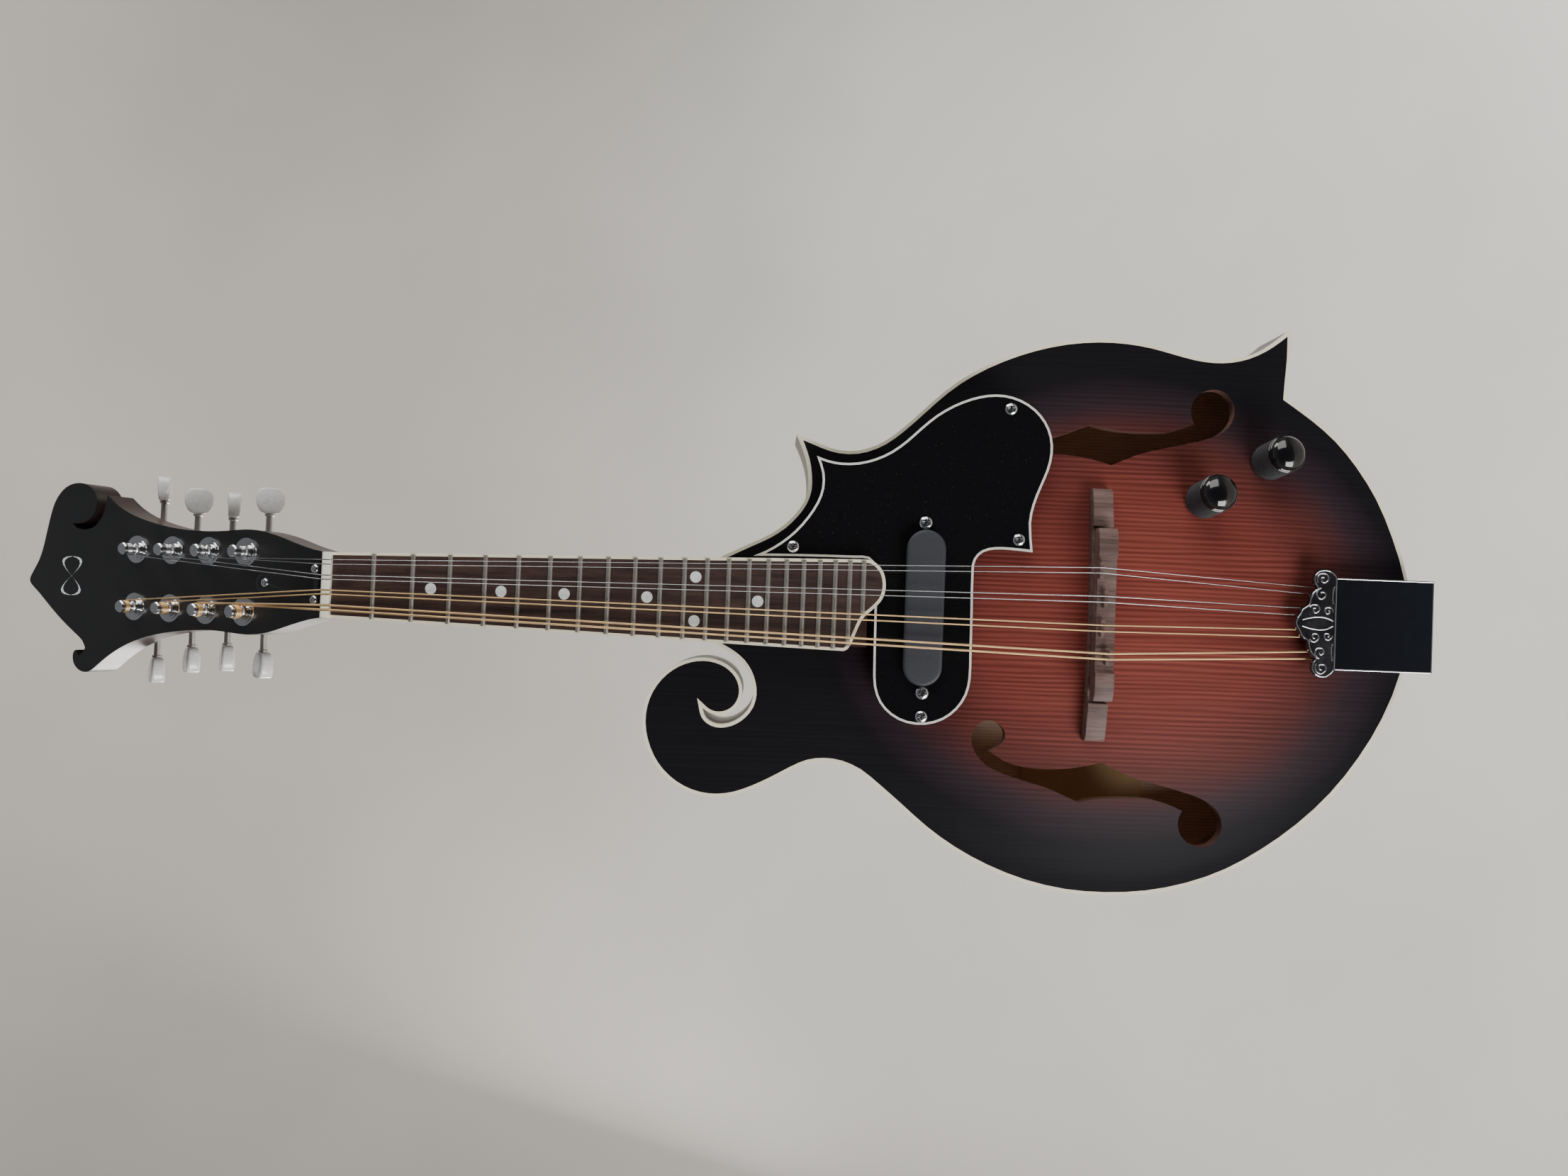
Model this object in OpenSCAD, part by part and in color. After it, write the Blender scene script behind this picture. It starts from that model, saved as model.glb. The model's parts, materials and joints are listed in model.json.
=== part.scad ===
// Electric-acoustic mandolin with a scrolled body, carved top and back, two f-holes and a magnetic pickup.
// Every piece is drawn lying on a bench: x runs across (treble side positive), y towards the headstock and
// z out of the front, with zero at the nut on the plane of the fret crowns. hang() then stands it upright,
// headstock up and front towards -Y. Lengths are in millimetres and angles in degrees.

/* [Neck] */
// Sounding length of the open strings
scale_length = 350; // [346:1:354]
// Tilt of the fingerboard above the body's front plane
neck_angle = 4.5; // [4.4:0.1:4.7]
// Backward tilt of the headstock from the fingerboard
head_angle = 17; // [16:0.5:18]
// Fingerboard width at the nut
nut_width = 30.5; // [29.5:0.5:31]
// Fingerboard width at the last fret
board_end_width = 41.5; // [41:0.5:42]
// Thickness of the fingerboard's wood
board_t = 5; // [4.8:0.1:5]
// Number of frets
fret_count = 21; // [12:1:21]
// Length of the nut along the neck
nut_t = 4.6; // [4:0.1:4.6]
// Thickness of the headstock's wood
head_t = 13.5; // [13:0.5:14]
// Thickness of the headstock's black face
overlay_t = 1.5; // [1.2:0.1:1.5]

/* [Body] */
// Depth of the body at its rim
rim_depth = 40; // [40:1:44]
// Thickness of the rim
rim_t = 3; // [2.5:0.5:3]
// Thickness of the top and the back
plate_t = 5; // [4.5:0.5:5]
// Rise of the carved top
top_arch = 13.5; // [13:0.5:13.5]
// Rise of the carved back
back_arch = 13; // [10:0.5:14]
// Width of the cream edge binding
binding_w = 1.5; // [1.2:0.1:1.6]

/* [Strings and bridge] */
// Distance from the fret crowns to the saddle's string line, at the saddle
saddle_height = 4; // [3.8:0.1:4.2]
// Length of the bridge's foot
bridge_length = 115; // [110:1:118]
// Length of the saddle
saddle_length = 77; // [76:1:78]
// Radius of the thumbwheels under the saddle
wheel_r = 4.4; // [4:0.1:4.5]

/* [Tuners] */
// Distance between neighbouring string posts
post_gap = 23.6; // [23.4:0.1:23.6]
// Distance from the nut to the first string post
first_post = 53.7; // [53:0.1:54]
// Distance of the posts from the centreline
post_x = 14.4; // [14:0.1:14.6]
// Radius of a string post in its bushing
post_r = 3; // [2.8:0.1:3]
// Radius of a tuning key's shaft
key_r = 1.8; // [1.6:0.1:1.8]

/* [Controls] */
// Radius of a control knob
knob_r = 8.7; // [8:0.1:9]
// Height of a control knob
knob_h = 23; // [21:0.5:25]

/* [Hidden] */
$fn = 48;

// Radial clearance of a shaft that turns in its hole
running = 0.05;
// Height of a fret's crown above the wood, and the depth and thickness of its tang
fret_h = 1;
tang_h = 1.6;
tang_t = 0.6;
// Depth of the fingerboard's underside below the fret crowns
board_under = board_t + fret_h;
// Drop of the headstock's face below the fret crowns at the nut
head_drop = 4;
// The carved arch stands on an oval: its centre's y and its half width and half length
arch_y = -362;
arch_rx = 124;
arch_ry = 136;
// The hollow under the arch is this much smaller all round
arch_ledge = 8;
// Body ends: where the neck meets the rim and where the tail is
joint_y = -177.5;
tail_y = -504.7;
// The neck block fills the body down to this line
block_y = -222;
last_fret = scale_length * (1 - pow(2, -fret_count / 12));

// Body outline; a third value of 1 marks a sharp corner
BODY = [[-19.4, -177.5, 1], [-22, -182.3], [-24.8, -187.3], [-28.4, -191.7], [-33, -195], [-38, -196.9],
    [-43.3, -197.5], [-48.5, -196.3], [-52.7, -193.4], [-55.8, -189.4], [-57.4, -185], [-57.5, -180.8],
    [-56, -177.2], [-53.5, -175], [-50, -174, 1], [-51.9, -176.4], [-53.2, -180], [-53, -184],
    [-51.4, -187.6], [-48.6, -190.4], [-45, -192], [-41, -192.3], [-36.8, -191.2], [-32.8, -188.5],
    [-29.6, -184.4], [-27.7, -179.5], [-27, -174], [-27.8, -168], [-30.2, -161.8], [-34.3, -156.1],
    [-39.8, -151.4], [-46.5, -148.1], [-54, -146.6], [-62, -147], [-70, -149.4], [-77.3, -153.4],
    [-83.5, -159.3], [-88, -166.3], [-90.7, -174.3], [-91.3, -182.5], [-90, -190.5], [-86.8, -199],
    [-82.3, -208], [-77.3, -216.8], [-74, -224], [-72.9, -231.5], [-73.8, -239.5], [-77.3, -248],
    [-84, -257], [-93, -268], [-102.5, -279.5], [-111.5, -293], [-119.5, -309], [-125.8, -327],
    [-129.5, -346], [-130.3, -365], [-128.8, -384], [-124.5, -403], [-117.5, -421], [-107.5, -438],
    [-95, -454.5], [-80, -469.8], [-62.5, -483], [-43.5, -493.7], [-22, -501.6], [0, -504.7],
    [22, -502.4], [42, -496], [60, -487.8], [75, -477.8], [87, -467.2], [96.5, -455.6],
    [105.3, -442.6, 1], [112, -442.9], [124, -443.7], [137.8, -443.6, 1], [133.2, -438.3],
    [128.3, -431.5], [124.6, -424], [122.5, -416], [122, -407.5], [123, -398.5], [125.3, -388.5],
    [127.7, -378], [129.2, -366.5], [129.4, -353], [127.7, -338], [124, -323], [118.3, -308],
    [111, -294], [102.5, -282.3], [93, -272.2], [84, -262.8], [77.3, -254.3], [73.4, -246],
    [72, -237.5], [73, -229.5], [75.8, -221.5], [79, -213, 1], [73.5, -215.6], [67, -218],
    [60, -219.3], [53, -219.4], [46.8, -217.4], [41, -213.4], [35.8, -208.3], [31.4, -202],
    [27.3, -194], [23.3, -186], [19.4, -178.5, 1]];

// One f-hole, on the bass side
F_HOLE = [[-65, -307.5, 1], [-62.9, -311], [-59.5, -313.6], [-56, -313.9], [-52.6, -311.8],
    [-50.6, -308], [-50.7, -304.2], [-52.9, -301], [-56.5, -299.2], [-60.5, -298.9], [-64.5, -300.2],
    [-68.5, -303], [-72, -307.2], [-74.5, -312.2], [-76.7, -319], [-79, -327.5], [-81.2, -335.5],
    [-87, -349.5, 1], [-85.4, -355.5], [-84.5, -363], [-84.1, -371], [-84.2, -379], [-85, -386],
    [-86.9, -392.5], [-89.3, -398.3, 1], [-92.3, -397], [-96.3, -396.8], [-100.8, -398.5],
    [-104.3, -402], [-106.2, -406.8], [-105.7, -411.8], [-102.8, -415.6], [-98.3, -417.6],
    [-93, -417.1], [-88.3, -414.4], [-84.6, -409.6], [-82.1, -403.4], [-80, -396], [-77.7, -387],
    [-75.4, -378], [-73, -370.2], [-67.8, -358.8, 1], [-69.7, -352], [-71.2, -344], [-72, -336],
    [-71.9, -328], [-71, -320.5], [-69, -314]];
// The treble f-hole mirrors it, this far off centre
f_hole_shift = 1.5;

// Pickguard outline
GUARD = [[20.9, -195, 1], [23.6, -201], [27.6, -207.3], [33, -213.6], [39.5, -219], [46.5, -223.2],
    [53, -225.2], [60, -225], [67.6, -222.3, 1], [65.8, -227.5], [64.8, -234], [65.2, -241.5],
    [67.2, -249], [70.8, -256.3], [76, -263], [82, -269.3], [87.8, -276], [92.5, -283.5],
    [95.9, -291.5], [97.7, -299], [97.8, -306.5], [95.8, -313.8], [91.8, -320.3], [86, -325.3],
    [79.3, -328.1], [72, -328.7], [64.5, -327.3], [56.5, -324.3], [48.5, -321.5], [40, -320.1],
    [27, -321.3, 1], [27.7, -312], [27.7, -304.5], [26.2, -299.2], [22.7, -296], [18, -295.2],
    [0, -295.4], [-20, -295.6], [-31, -295.6], [-38.5, -294.1], [-45.3, -290], [-50.3, -283.8],
    [-52.8, -276], [-52.4, -267.5], [-49.2, -260.3], [-43.8, -255], [-36.5, -252.2], [-28, -251.6],
    [-10, -251.3], [17.5, -251, 1], [21.3, -247.5], [21.6, -242], [21.4, -215]];
guard_t = 2.5;
guard_edge_w = 1;
// The guard is parallel to the strings and passes this point
guard_at = [0, -250, 13.5];
GUARD_SCREWS = [[25.7, -213], [91.5, -309.5], [32.3, -315], [-49.3, -274]];
PICKUP_SCREWS = [[-38.6, -274], [38.6, -273]];

// Pickup: centre, half length and half width of its rounded cover, and its height above the guard
pickup_y = -273.5;
pickup_half = 35.3;
pickup_r = 8.8;
pickup_proud = 4.5;
pickup_depth = 5.5;

// Headstock outline in its own plane: x across, y from the nut
HEAD = [[15.3, 5.2, 1], [16.4, 13], [19.2, 24], [22.8, 36], [25.1, 48], [25.3, 57], [24.5, 68],
    [24.2, 79], [24.6, 91], [25.9, 104], [28.4, 117], [31.9, 129.5], [36.4, 139.5], [41.8, 147.3, 1],
    [37, 148.2], [32.6, 149.4], [28.6, 151.9], [25.8, 155.3], [24.3, 159.6], [24.1, 164.2],
    [25, 168.4], [27.3, 171, 1], [27.1, 166.8], [28.2, 161.5], [31, 157.2], [34.6, 155.1],
    [38.5, 154.6], [42.3, 155.6], [45.3, 158.6], [47.3, 162.6], [48.1, 167.5], [47.6, 172.5],
    [45.9, 177], [42.8, 181], [38.3, 184.4], [32.5, 186.7], [26, 188.5], [19.5, 190.1], [13.5, 191.7],
    [8, 193.9], [3, 197], [-0.6, 199.4], [-3, 200.1], [-5.2, 198.7], [-9.5, 192.8], [-15, 186],
    [-20.3, 179.2], [-25.2, 172.2], [-29.6, 165.2], [-33, 160.2], [-36.7, 157.8, 1], [-38.7, 158.9],
    [-40.6, 161], [-40.7, 162.5], [-39.6, 163.5], [-38, 163.6, 1], [-38.6, 165.4], [-41, 166.3],
    [-44.5, 165.6], [-47.4, 163], [-49, 159], [-48.8, 154.8], [-46.5, 150.5], [-42.7, 145.3],
    [-38.8, 139.3], [-35.3, 132.8], [-32, 125], [-29.2, 116], [-27, 105.5], [-25.5, 94.5],
    [-24.6, 83.5], [-24.2, 73], [-24.9, 61], [-25.4, 51], [-23.9, 39], [-20, 26], [-16.6, 14],
    [-15.3, 5.2, 1]];

// Cover over the truss rod's nut, and its screws, in the headstock's plane
TRUSS_COVER = [[-11.2, 7.5, 1], [-5.7, 37.5, 1], [-4.9, 41.5], [-3.3, 44.3], [0, 45.6], [3.3, 44.3],
    [4.9, 41.5], [5.7, 37.5, 1], [11.2, 7.5, 1]];
TRUSS_SCREWS = [[-7.3, 10.4], [7.3, 10.4], [0, 40]];
truss_cover_t = 1.8;

// A plain ribbon-like knot inlaid in the headstock, drawn as a closed band
inlay_y = 170;
inlay_rx = 10;
inlay_ry = 8;
inlay_w = 1.6;
inlay_t = 0.6;

// Strings from the bass side: radius, x at nut, x at saddle, x at tail and added length at the saddle
STRINGS = [[0.5, -11.6, -19.7, -15.8, 4.5], [0.5, -9.5, -17.2, -12.5, 4.5],
    [0.33, -4.4, -7.4, -6.4, 2], [0.33, -2.5, -4.7, -2.9, 2],
    [0.2, 2.5, 5.5, 2.9, 3], [0.2, 4.4, 8.1, 6.4, 3],
    [0.15, 9.5, 18.3, 12.5, 0.8], [0.15, 11.6, 20.7, 15.8, 0.8]];
// Post that each string goes to, counted from the nut
STRING_POST = [1, 2, 3, 4, 4, 3, 2, 1];
// Strings lie this far above the fret crowns at the nut, whose slots fall towards the headstock
nut_action = 0.5;
nut_slope = -4;
// Heights above the headstock's face at which strings meet the first to fourth post, and their gap to it
POST_WRAP = [3.6, 4.9, 3.6, 4.9];
string_clear = 0.35;

// Bridge
bridge_y = -353;
bridge_w = 9;
saddle_y = -352.6;
saddle_w = 8.4;
bridge_post_x = 31.5;
bridge_post_r = 1.5;
base_top_z = 17.6;
wheel_z = 19.2;
wheel_t = 1.9;
saddle_bottom_z = wheel_z + wheel_t + 0.05;

// Tuners
post_top_w = 9.6;
post_waist_r = 2.5;
bushing_r = 5;
bushing_flange_r = 6.9;
bushing_flange_t = 1.3;
head_back_w = -(overlay_t + head_t);
tuner_plate_t = 1.2;
// Distance from the post's axis to the worm's axis, and the worm's depth below the headstock's face
worm_offset = 8;
worm_w = head_back_w - 6.7;
worm_r = 2.3;
gear_r = 5.6;
gear_t = 3;
ear_t = 1;
ear_gap = 6.7;
ear_half = 3.4;
// Reach of each button's centre from the centreline, from the nut upwards, and its turn about the shaft
KEY_REACH = [41.3, 39, 41, 47.5];
BASS_TURN = [26, 38, 31, 33];
TREBLE_TURN = [48, 138, 48, 131];
button_length = 13.8;
button_width = 13.8;
button_t = 6.8;

// Tailpiece
tail_half = 20.3;
tail_front_y = -462;
tail_sheet = 1.2;
// Gap between the tailpiece's sheet and the curved top
tail_lift = 0.6;
cover_sheet = 0.6;
cover_top_z = 13.2;
hook_y = -468;
hook_z = 7;
// Front plate of the cover, one half of its outline
CLOUD = [[0, -443], [2.2, -443.7], [4.2, -445, 1], [6.6, -446.2], [8.4, -449, 1], [11.6, -449.5],
    [14.3, -450.8], [16, -452.8, 1], [18.2, -451.3], [21, -451], [23.6, -452.6], [24.9, -455.4],
    [24.6, -458.6], [22.8, -461.2], [20.9, -462.3, 1], [0, -462.3, 1]];
tail_pin_z = -26;

// Edges of the paper label inside the back
label_x0 = -104;
label_x1 = -64;
label_low = -392;
label_high = -332;

// Output jack in the lower treble rim: a point on the rim, the way it faces and its depth
jack_at = [91.9, -461.6, -20];
jack_angle = -42;
jack_bore_r = 3.2;
jack_length = 24;

// Control knobs: where their shafts pass the top
KNOBS = [[54.4, -401], [74, -433]];
shaft_r = 3;
knob_dome = 5;

// Joins of the wiring inside the body: pickup to volume control, volume to tone, tone to jack
PICKUP_LEAD = [[24, -278, 6.5], [24, -278, -14], [34, -320, -20], [44, -370, -20], [48.5, -396, -13.5]];
TONE_LEAD = [[55, -414, -13.5], [62, -420, -18], [67, -424, -16]];
JACK_LEAD = [[73, -445, -16], [73, -449, -20], [75.2, -447, -20]];
lead_r = 0.9;

// ---- Curves ----

function unit(v) = v / norm(v);
function flat(p) = [p.x, p.y];
function mirrored(P) = [for (i = [len(P) - 1:-1:0]) concat([-P[i].x, P[i].y], len(P[i]) == 3 ? [1] : [])];
// Direction of the curve at point i, along the line between its neighbours
function heading(P, i) =
    let (n = len(P), before = P[(i + n - 1) % n], after = P[(i + 1) % n]) unit(flat(after) - flat(before));
// Closed smooth curve through P, with a number of steps between neighbours
function smooth(P, steps) = [for (i = [0:len(P) - 1])
    let (j = (i + 1) % len(P), a = flat(P[i]), b = flat(P[j]), chord = b - a, reach = norm(chord),
        leave = len(P[i]) == 3 ? chord : reach * heading(P, i),
        arrive = len(P[j]) == 3 ? chord : reach * heading(P, j))
    for (k = [0:steps - 1])
        let (t = k / steps, s = 1 - t)
        a * s * s * (1 + 2 * t) + b * t * t * (1 + 2 * s) + leave * t * s * s - arrive * t * t * s];
function area(P) = let (n = len(P))
    [for (i = [0:n - 1]) cross(P[i], P[(i + 1) % n])] * [for (i = [0:n - 1]) 0.5];
function turned_left(P) = area(P) > 0 ? P : [for (i = [len(P) - 1:-1:0]) P[i]];
// Distance from q to the stretch from a to b
function gap_to(q, a, b) = let (ab = b - a, t = max(0, min(1, (q - a) * ab / (ab * ab)))) norm(q - a - t * ab);
function clearance(q, P) = let (n = len(P)) min([for (i = [0:n - 1]) gap_to(q, P[i], P[(i + 1) % n])]);
function inward(a, b) = let (d = unit(b - a)) [-d.y, d.x];
// Outline moved inwards by t; points that would come nearer than t to another stretch are left out
function inset(P, t) = let (Q = turned_left(P), n = len(Q)) [for (i = [0:n - 1])
    let (m1 = inward(Q[(i + n - 1) % n], Q[i]), m2 = inward(Q[i], Q[(i + 1) % n]),
        q = Q[i] + t * (m1 + m2) / (1 + m1 * m2))
    if (clearance(q, Q) > t - 0.03) q];

// ---- Surfaces ----

// Height of an arch of the given rise over the plane of its edge
function arch(x, y, rise, ledge = 0) =
    let (r2 = pow(x / (arch_rx - ledge), 2) + pow((y - arch_y) / (arch_ry - ledge), 2))
    r2 < 1 ? rise * pow(1 - r2, 1.5) : 0;
function top_z(p) = arch(p.x, p.y, top_arch);
function top_under_z(x, y) = arch(x, y, top_arch, arch_ledge) - plate_t;
// Outward direction of the carved top at p
function top_normal(p) =
    let (r2 = pow(p.x / arch_rx, 2) + pow((p.y - arch_y) / arch_ry, 2), k = 3 * top_arch * sqrt(1 - r2))
    unit([k * p.x / pow(arch_rx, 2), k * (p.y - arch_y) / pow(arch_ry, 2), 1]);
// Height of the fingerboard's underside over the body's front plane
function under_board(y) = -y * tan(neck_angle) - board_under / cos(neck_angle);
function board_half(y) = (nut_width - (board_end_width - nut_width) * y / last_fret) / 2;
function guard_z(y) = guard_at.z - (y - guard_at.y) * tan(neck_angle);
// A point of the neck's own frame, seen from the bench: x, distance from the nut and height
function from_neck(x, d, h) = [x, -d * cos(neck_angle) + h * sin(neck_angle),
    d * sin(neck_angle) + h * cos(neck_angle)];
// A point of the headstock's own frame, seen from the bench
function from_head(x, u, w) = from_neck(x, -u * cos(head_angle) - w * sin(head_angle),
    -head_drop - u * sin(head_angle) + w * cos(head_angle));
function post_u(i) = first_post + (i - 1) * post_gap;

// ---- Frames and helpers ----

module hang() rotate([90, 0, 0]) children();
module on_neck() rotate([-neck_angle, 0, 0]) children();
module on_head() on_neck() translate([0, 0, -head_drop]) rotate([-head_angle, 0, 0]) children();
module on_guard() translate(guard_at) rotate([-neck_angle, 0, 0]) translate([0, -guard_at.y, 0]) children();
// Turns children from +z to the direction d
module aim(d) rotate([0, acos(d.z / norm(d)), atan2(d.y, d.x)]) children();
// Wire of round section through the points of a path that nowhere runs straight across the part
module wire(path, r) {
    sides = 10;
    last = len(path) - 1;
    function along(i) = unit(unit(path[min(i + 1, last)] - path[min(i, last - 1)])
        + unit(path[max(i, 1)] - path[max(i - 1, 0)]));
    loft([for (i = [0:last]) let (d = along(i), a = unit(cross([1, 0, 0], d)), b = cross(d, a))
        [for (k = [0:sides - 1]) path[i] + r * (a * cos(k * 360 / sides) + b * sin(k * 360 / sides))]]);
}
// Plate between two heights
module slab(points, low, high) translate([0, 0, low]) linear_extrude(high - low) polygon(points);
// Wall between two outlines
module wall(outer, inner, low, high) translate([0, 0, low]) linear_extrude(high - low) difference() {
    polygon(outer);
    polygon(inner);
}
// Side profile drawn in y and z, drawn out along x
module along_x(points, x0, x1) translate([x0, 0, 0]) rotate([90, 0, 90]) linear_extrude(x1 - x0) polygon(points);
module block(low, high) translate(low) cube(high - low);
// Closed skin over loops of equal length, each one counter-clockwise as seen from the loops still to come
module loft(loops) {
    n = len(loops[0]);
    m = len(loops);
    sides = [for (i = [0:m - 2]) for (j = [0:n - 1])
        let (a = i * n + j, b = i * n + (j + 1) % n) each [[a, a + n, b + n], [a, b + n, b]]];
    polyhedron([for (l = loops) each l],
        concat([[for (j = [0:n - 1]) j], [for (j = [n - 1:-1:0]) (m - 1) * n + j]], sides), convexity = 6);
}
// Solid under an arch, closed by a floor below its edge
module dome(rise, ledge, floor_depth) {
    sides = 40;
    rings = 8;
    function oval(r, z) = [for (j = [0:sides - 1])
        [(arch_rx - ledge) * r * cos(j * 360 / sides), arch_y + (arch_ry - ledge) * r * sin(j * 360 / sides), z]];
    loft(concat([oval(1, -floor_depth)],
        [for (k = [0:rings - 1]) let (r = 1 - k / (rings + 0.15)) oval(r, rise * pow(1 - r * r, 1.5))]));
}
// Cross-head screw with its head on the plane z = 0
module screw(head_r, head_h, shank_r, shank_l) {
    slot = head_r * 0.3;
    difference() {
        rotate_extrude() polygon([[0, -shank_l], [shank_r, -shank_l + shank_r], [shank_r, 0], [head_r, 0],
            [head_r, head_h * 0.3], [head_r * 0.8, head_h * 0.75], [head_r * 0.45, head_h], [0, head_h]]);
        for (a = [0, 90]) rotate([0, 0, a]) translate([-head_r * 0.6, -slot / 2, head_h * 0.35])
            cube([head_r * 1.2, slot, head_h]);
    }
}

body_outline = turned_left(smooth(BODY, 2));
f_outline = smooth(F_HOLE, 2);
guard_outline = turned_left(smooth(GUARD, 2));
head_outline = turned_left(smooth(HEAD, 2));

// ---- Body ----

module carved_plate(rise) difference() {
    union() {
        slab(inset(body_outline, binding_w), -plate_t, 0);
        intersection() {
            slab(inset(body_outline, binding_w), -1, rise + 1);
            dome(rise, 0, 0.6);
        }
    }
    translate([0, 0, -plate_t]) dome(rise, arch_ledge, 1);
    children();
}
module f_holes() {
    slab(f_outline, -plate_t - 2, top_arch + 2);
    translate([f_hole_shift, 0, 0]) mirror([1, 0, 0]) slab(f_outline, -plate_t - 2, top_arch + 2);
}
module knob_axes(r, low, high) for (p = KNOBS)
    translate([p.x, p.y, top_z(p)]) aim(top_normal(p)) translate([0, 0, low]) cylinder(h = high - low, r = r);
module top_plate() color([0.45, 0.16, 0.1]) carved_plate(top_arch) {
    f_holes();
    knob_axes(4, -14, 4);
    translate([24, -278, -plate_t - 2]) cylinder(h = 20, r = 2.5);
}
module back_plate() color([0.16, 0.09, 0.07])
    translate([0, 0, -rim_depth]) mirror([0, 0, 1]) carved_plate(back_arch);
// Dovetail that joins the neck to its block
module dovetail() slab([[-9, joint_y + 3], [9, joint_y + 3], [12, joint_y - 22], [-12, joint_y - 22]],
    -rim_depth + plate_t, -plate_t);
module rim() color([0.1, 0.06, 0.05]) difference() {
    wall(body_outline, inset(body_outline, rim_t), -rim_depth + plate_t, -plate_t);
    dovetail();
    translate(jack_at) aim([cos(jack_angle), sin(jack_angle), 0]) translate([0, 0, -8]) cylinder(h = 16, r = 4.8);
    translate([0, tail_y - 4, tail_pin_z]) rotate([-90, 0, 0]) cylinder(h = 10, r = 2.6);
    for (x = [-14, 14]) translate([x, tail_y - 4, -12]) rotate([-90, 0, 0]) cylinder(h = 12, r = 1.3);
}
module front_binding() color([0.93, 0.9, 0.78]) wall(body_outline, inset(body_outline, binding_w), -plate_t, 0);
module back_binding() color([0.93, 0.9, 0.78])
    translate([0, 0, plate_t - rim_depth]) wall(body_outline, inset(body_outline, binding_w), -plate_t, 0);
module linings() color([0.75, 0.6, 0.42]) for (low = [-plate_t - 8, -rim_depth + plate_t]) difference() {
    wall(inset(body_outline, rim_t), inset(body_outline, rim_t + 4), low, low + 8);
    block([-140, block_y, -rim_depth], [140, -140, 0]);
    block([-24, tail_y - 5, -rim_depth], [24, -470, 0]);
}
// Two braces glued along the underside of the top
module tone_bars() color([0.8, 0.68, 0.48]) for (x = [-22, 22]) {
    outer = abs(x) + 3;
    along_x(concat([for (y = [-430:10:-290]) [y, top_under_z(outer, y) - 0.7]],
        [for (y = [-290:-14:-430]) [y, top_under_z(outer, y) - 1.7 - 6 * sin((-290 - y) / 140 * 180)]]), x - 3, x + 3);
}
module neck_block() color([0.7, 0.52, 0.35]) difference() {
    intersection() {
        slab(inset(body_outline, rim_t), -rim_depth + plate_t, -plate_t);
        block([-100, block_y, -rim_depth], [100, -140, 0]);
    }
    dovetail();
}
module tail_block() color([0.7, 0.52, 0.35]) difference() {
    intersection() {
        slab(inset(body_outline, rim_t), -rim_depth + plate_t, -plate_t);
        block([-24, tail_y - 5, -rim_depth], [24, -483, 0]);
    }
    translate([0, tail_y - 4, tail_pin_z]) rotate([-90, 0, 0]) cylinder(h = 20, r = 2.6);
    for (x = [-14, 14]) translate([x, tail_y - 4, -12]) rotate([-90, 0, 0]) cylinder(h = 20, r = 1.3);
}
// Height of the hollow inside the back
function back_hollow_z(x, y) = plate_t - rim_depth - arch(x, y, back_arch, arch_ledge);
// Paper sheet on the hollow of the back, under the bass f-hole
module label() color([0.8, 0.68, 0.45]) loft([for (x = [label_x0:8:label_x1])
    concat([for (y = [label_low:10:label_high]) [x, y, back_hollow_z(x, y) + 0.8]],
        [for (y = [label_high:-10:label_low]) [x, y, back_hollow_z(x, y) + 1.2]])]);

// ---- Neck and headstock ----

// Distance along the neck and depth of its wood below the fingerboard
NECK_DEPTH = [[3.9, 14.2], [-6, 13.4], [-20, 12.8], [-60, 13.2], [-100, 14], [-130, 15.2], [-145, 17.8], [-154, 22.5],
    [-161, 29], [-167, 36], [-172, 42], [-177.4, 47.9]];
function neck_loop(y, depth) = [for (a = [180:-15:0])
    [board_half(y) * sign(cos(a)) * pow(abs(cos(a)), 0.8), y, under_board(y) - depth * pow(sin(a), 0.8)]];
module truss_bore(r) on_neck() translate([0, 13, -12.5]) rotate([90, 0, 0]) cylinder(h = 183, r = r);
module tuner_holes(r) for (side = [-1, 1]) for (i = [1:4])
    translate([side * post_x, post_u(i), head_back_w - 3]) cylinder(h = head_t + 8, r = r);
module truss_pocket() on_head() block([-4, 7, -11], [4, 31, 4]);
module neck() color([0.17, 0.09, 0.06]) difference() {
    union() {
        loft([for (s = NECK_DEPTH) neck_loop(s[0], s[1])]);
        dovetail();
        along_x([[-170, 0], [-226, 0], [-237, arch(0, -237, top_arch) + 0.1], [-248, arch(0, -248, top_arch) + 0.1],
            [-248, under_board(-248) - 0.05], [-170, under_board(-170) - 0.05]], -18.9, 18.9);
        on_head() slab(head_outline, head_back_w, -overlay_t);
    }
    on_head() tuner_holes(bushing_r);
    truss_pocket();
    truss_bore(2.6);
}
module headstock_overlay() color([0.06, 0.06, 0.07]) difference() {
    on_head() slab(head_outline, -overlay_t, 0);
    on_head() tuner_holes(bushing_r);
    truss_pocket();
    headstock_knot();
}
// Closed band that crosses itself once, like a loop of ribbon
module headstock_knot() {
    function knot(a, side) = [inlay_rx * sin(a) + side * cos(a) * 0.7, inlay_y + inlay_ry * sin(2 * a) * 0.8 + side * 0.9];
    on_head() for (k = [0:1]) slab(concat(
        [for (a = [-87:14.5:87]) knot(a + k * 180, -inlay_w / 2)],
        [for (a = [87:-14.5:-87]) knot(a + k * 180, inlay_w / 2)]), -inlay_t, 0);
}
module headstock_inlay() color([0.9, 0.9, 0.86]) headstock_knot();
module truss_rod() color([0.6, 0.6, 0.62]) {
    on_neck() translate([0, 10, -12.5]) rotate([90, 0, 0]) cylinder(h = 180, r = 2.5);
    on_neck() translate([0, 16, -12.5]) rotate([90, 0, 0]) cylinder(h = 6, r = 3, $fn = 6);
}
module truss_rod_cover() color([0.05, 0.05, 0.06]) difference() {
    on_head() slab(smooth(TRUSS_COVER, 2), 0, truss_cover_t);
    for (p = TRUSS_SCREWS) on_head() translate([p.x, p.y, -1]) cylinder(h = 4, r = 1.1);
}
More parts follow.
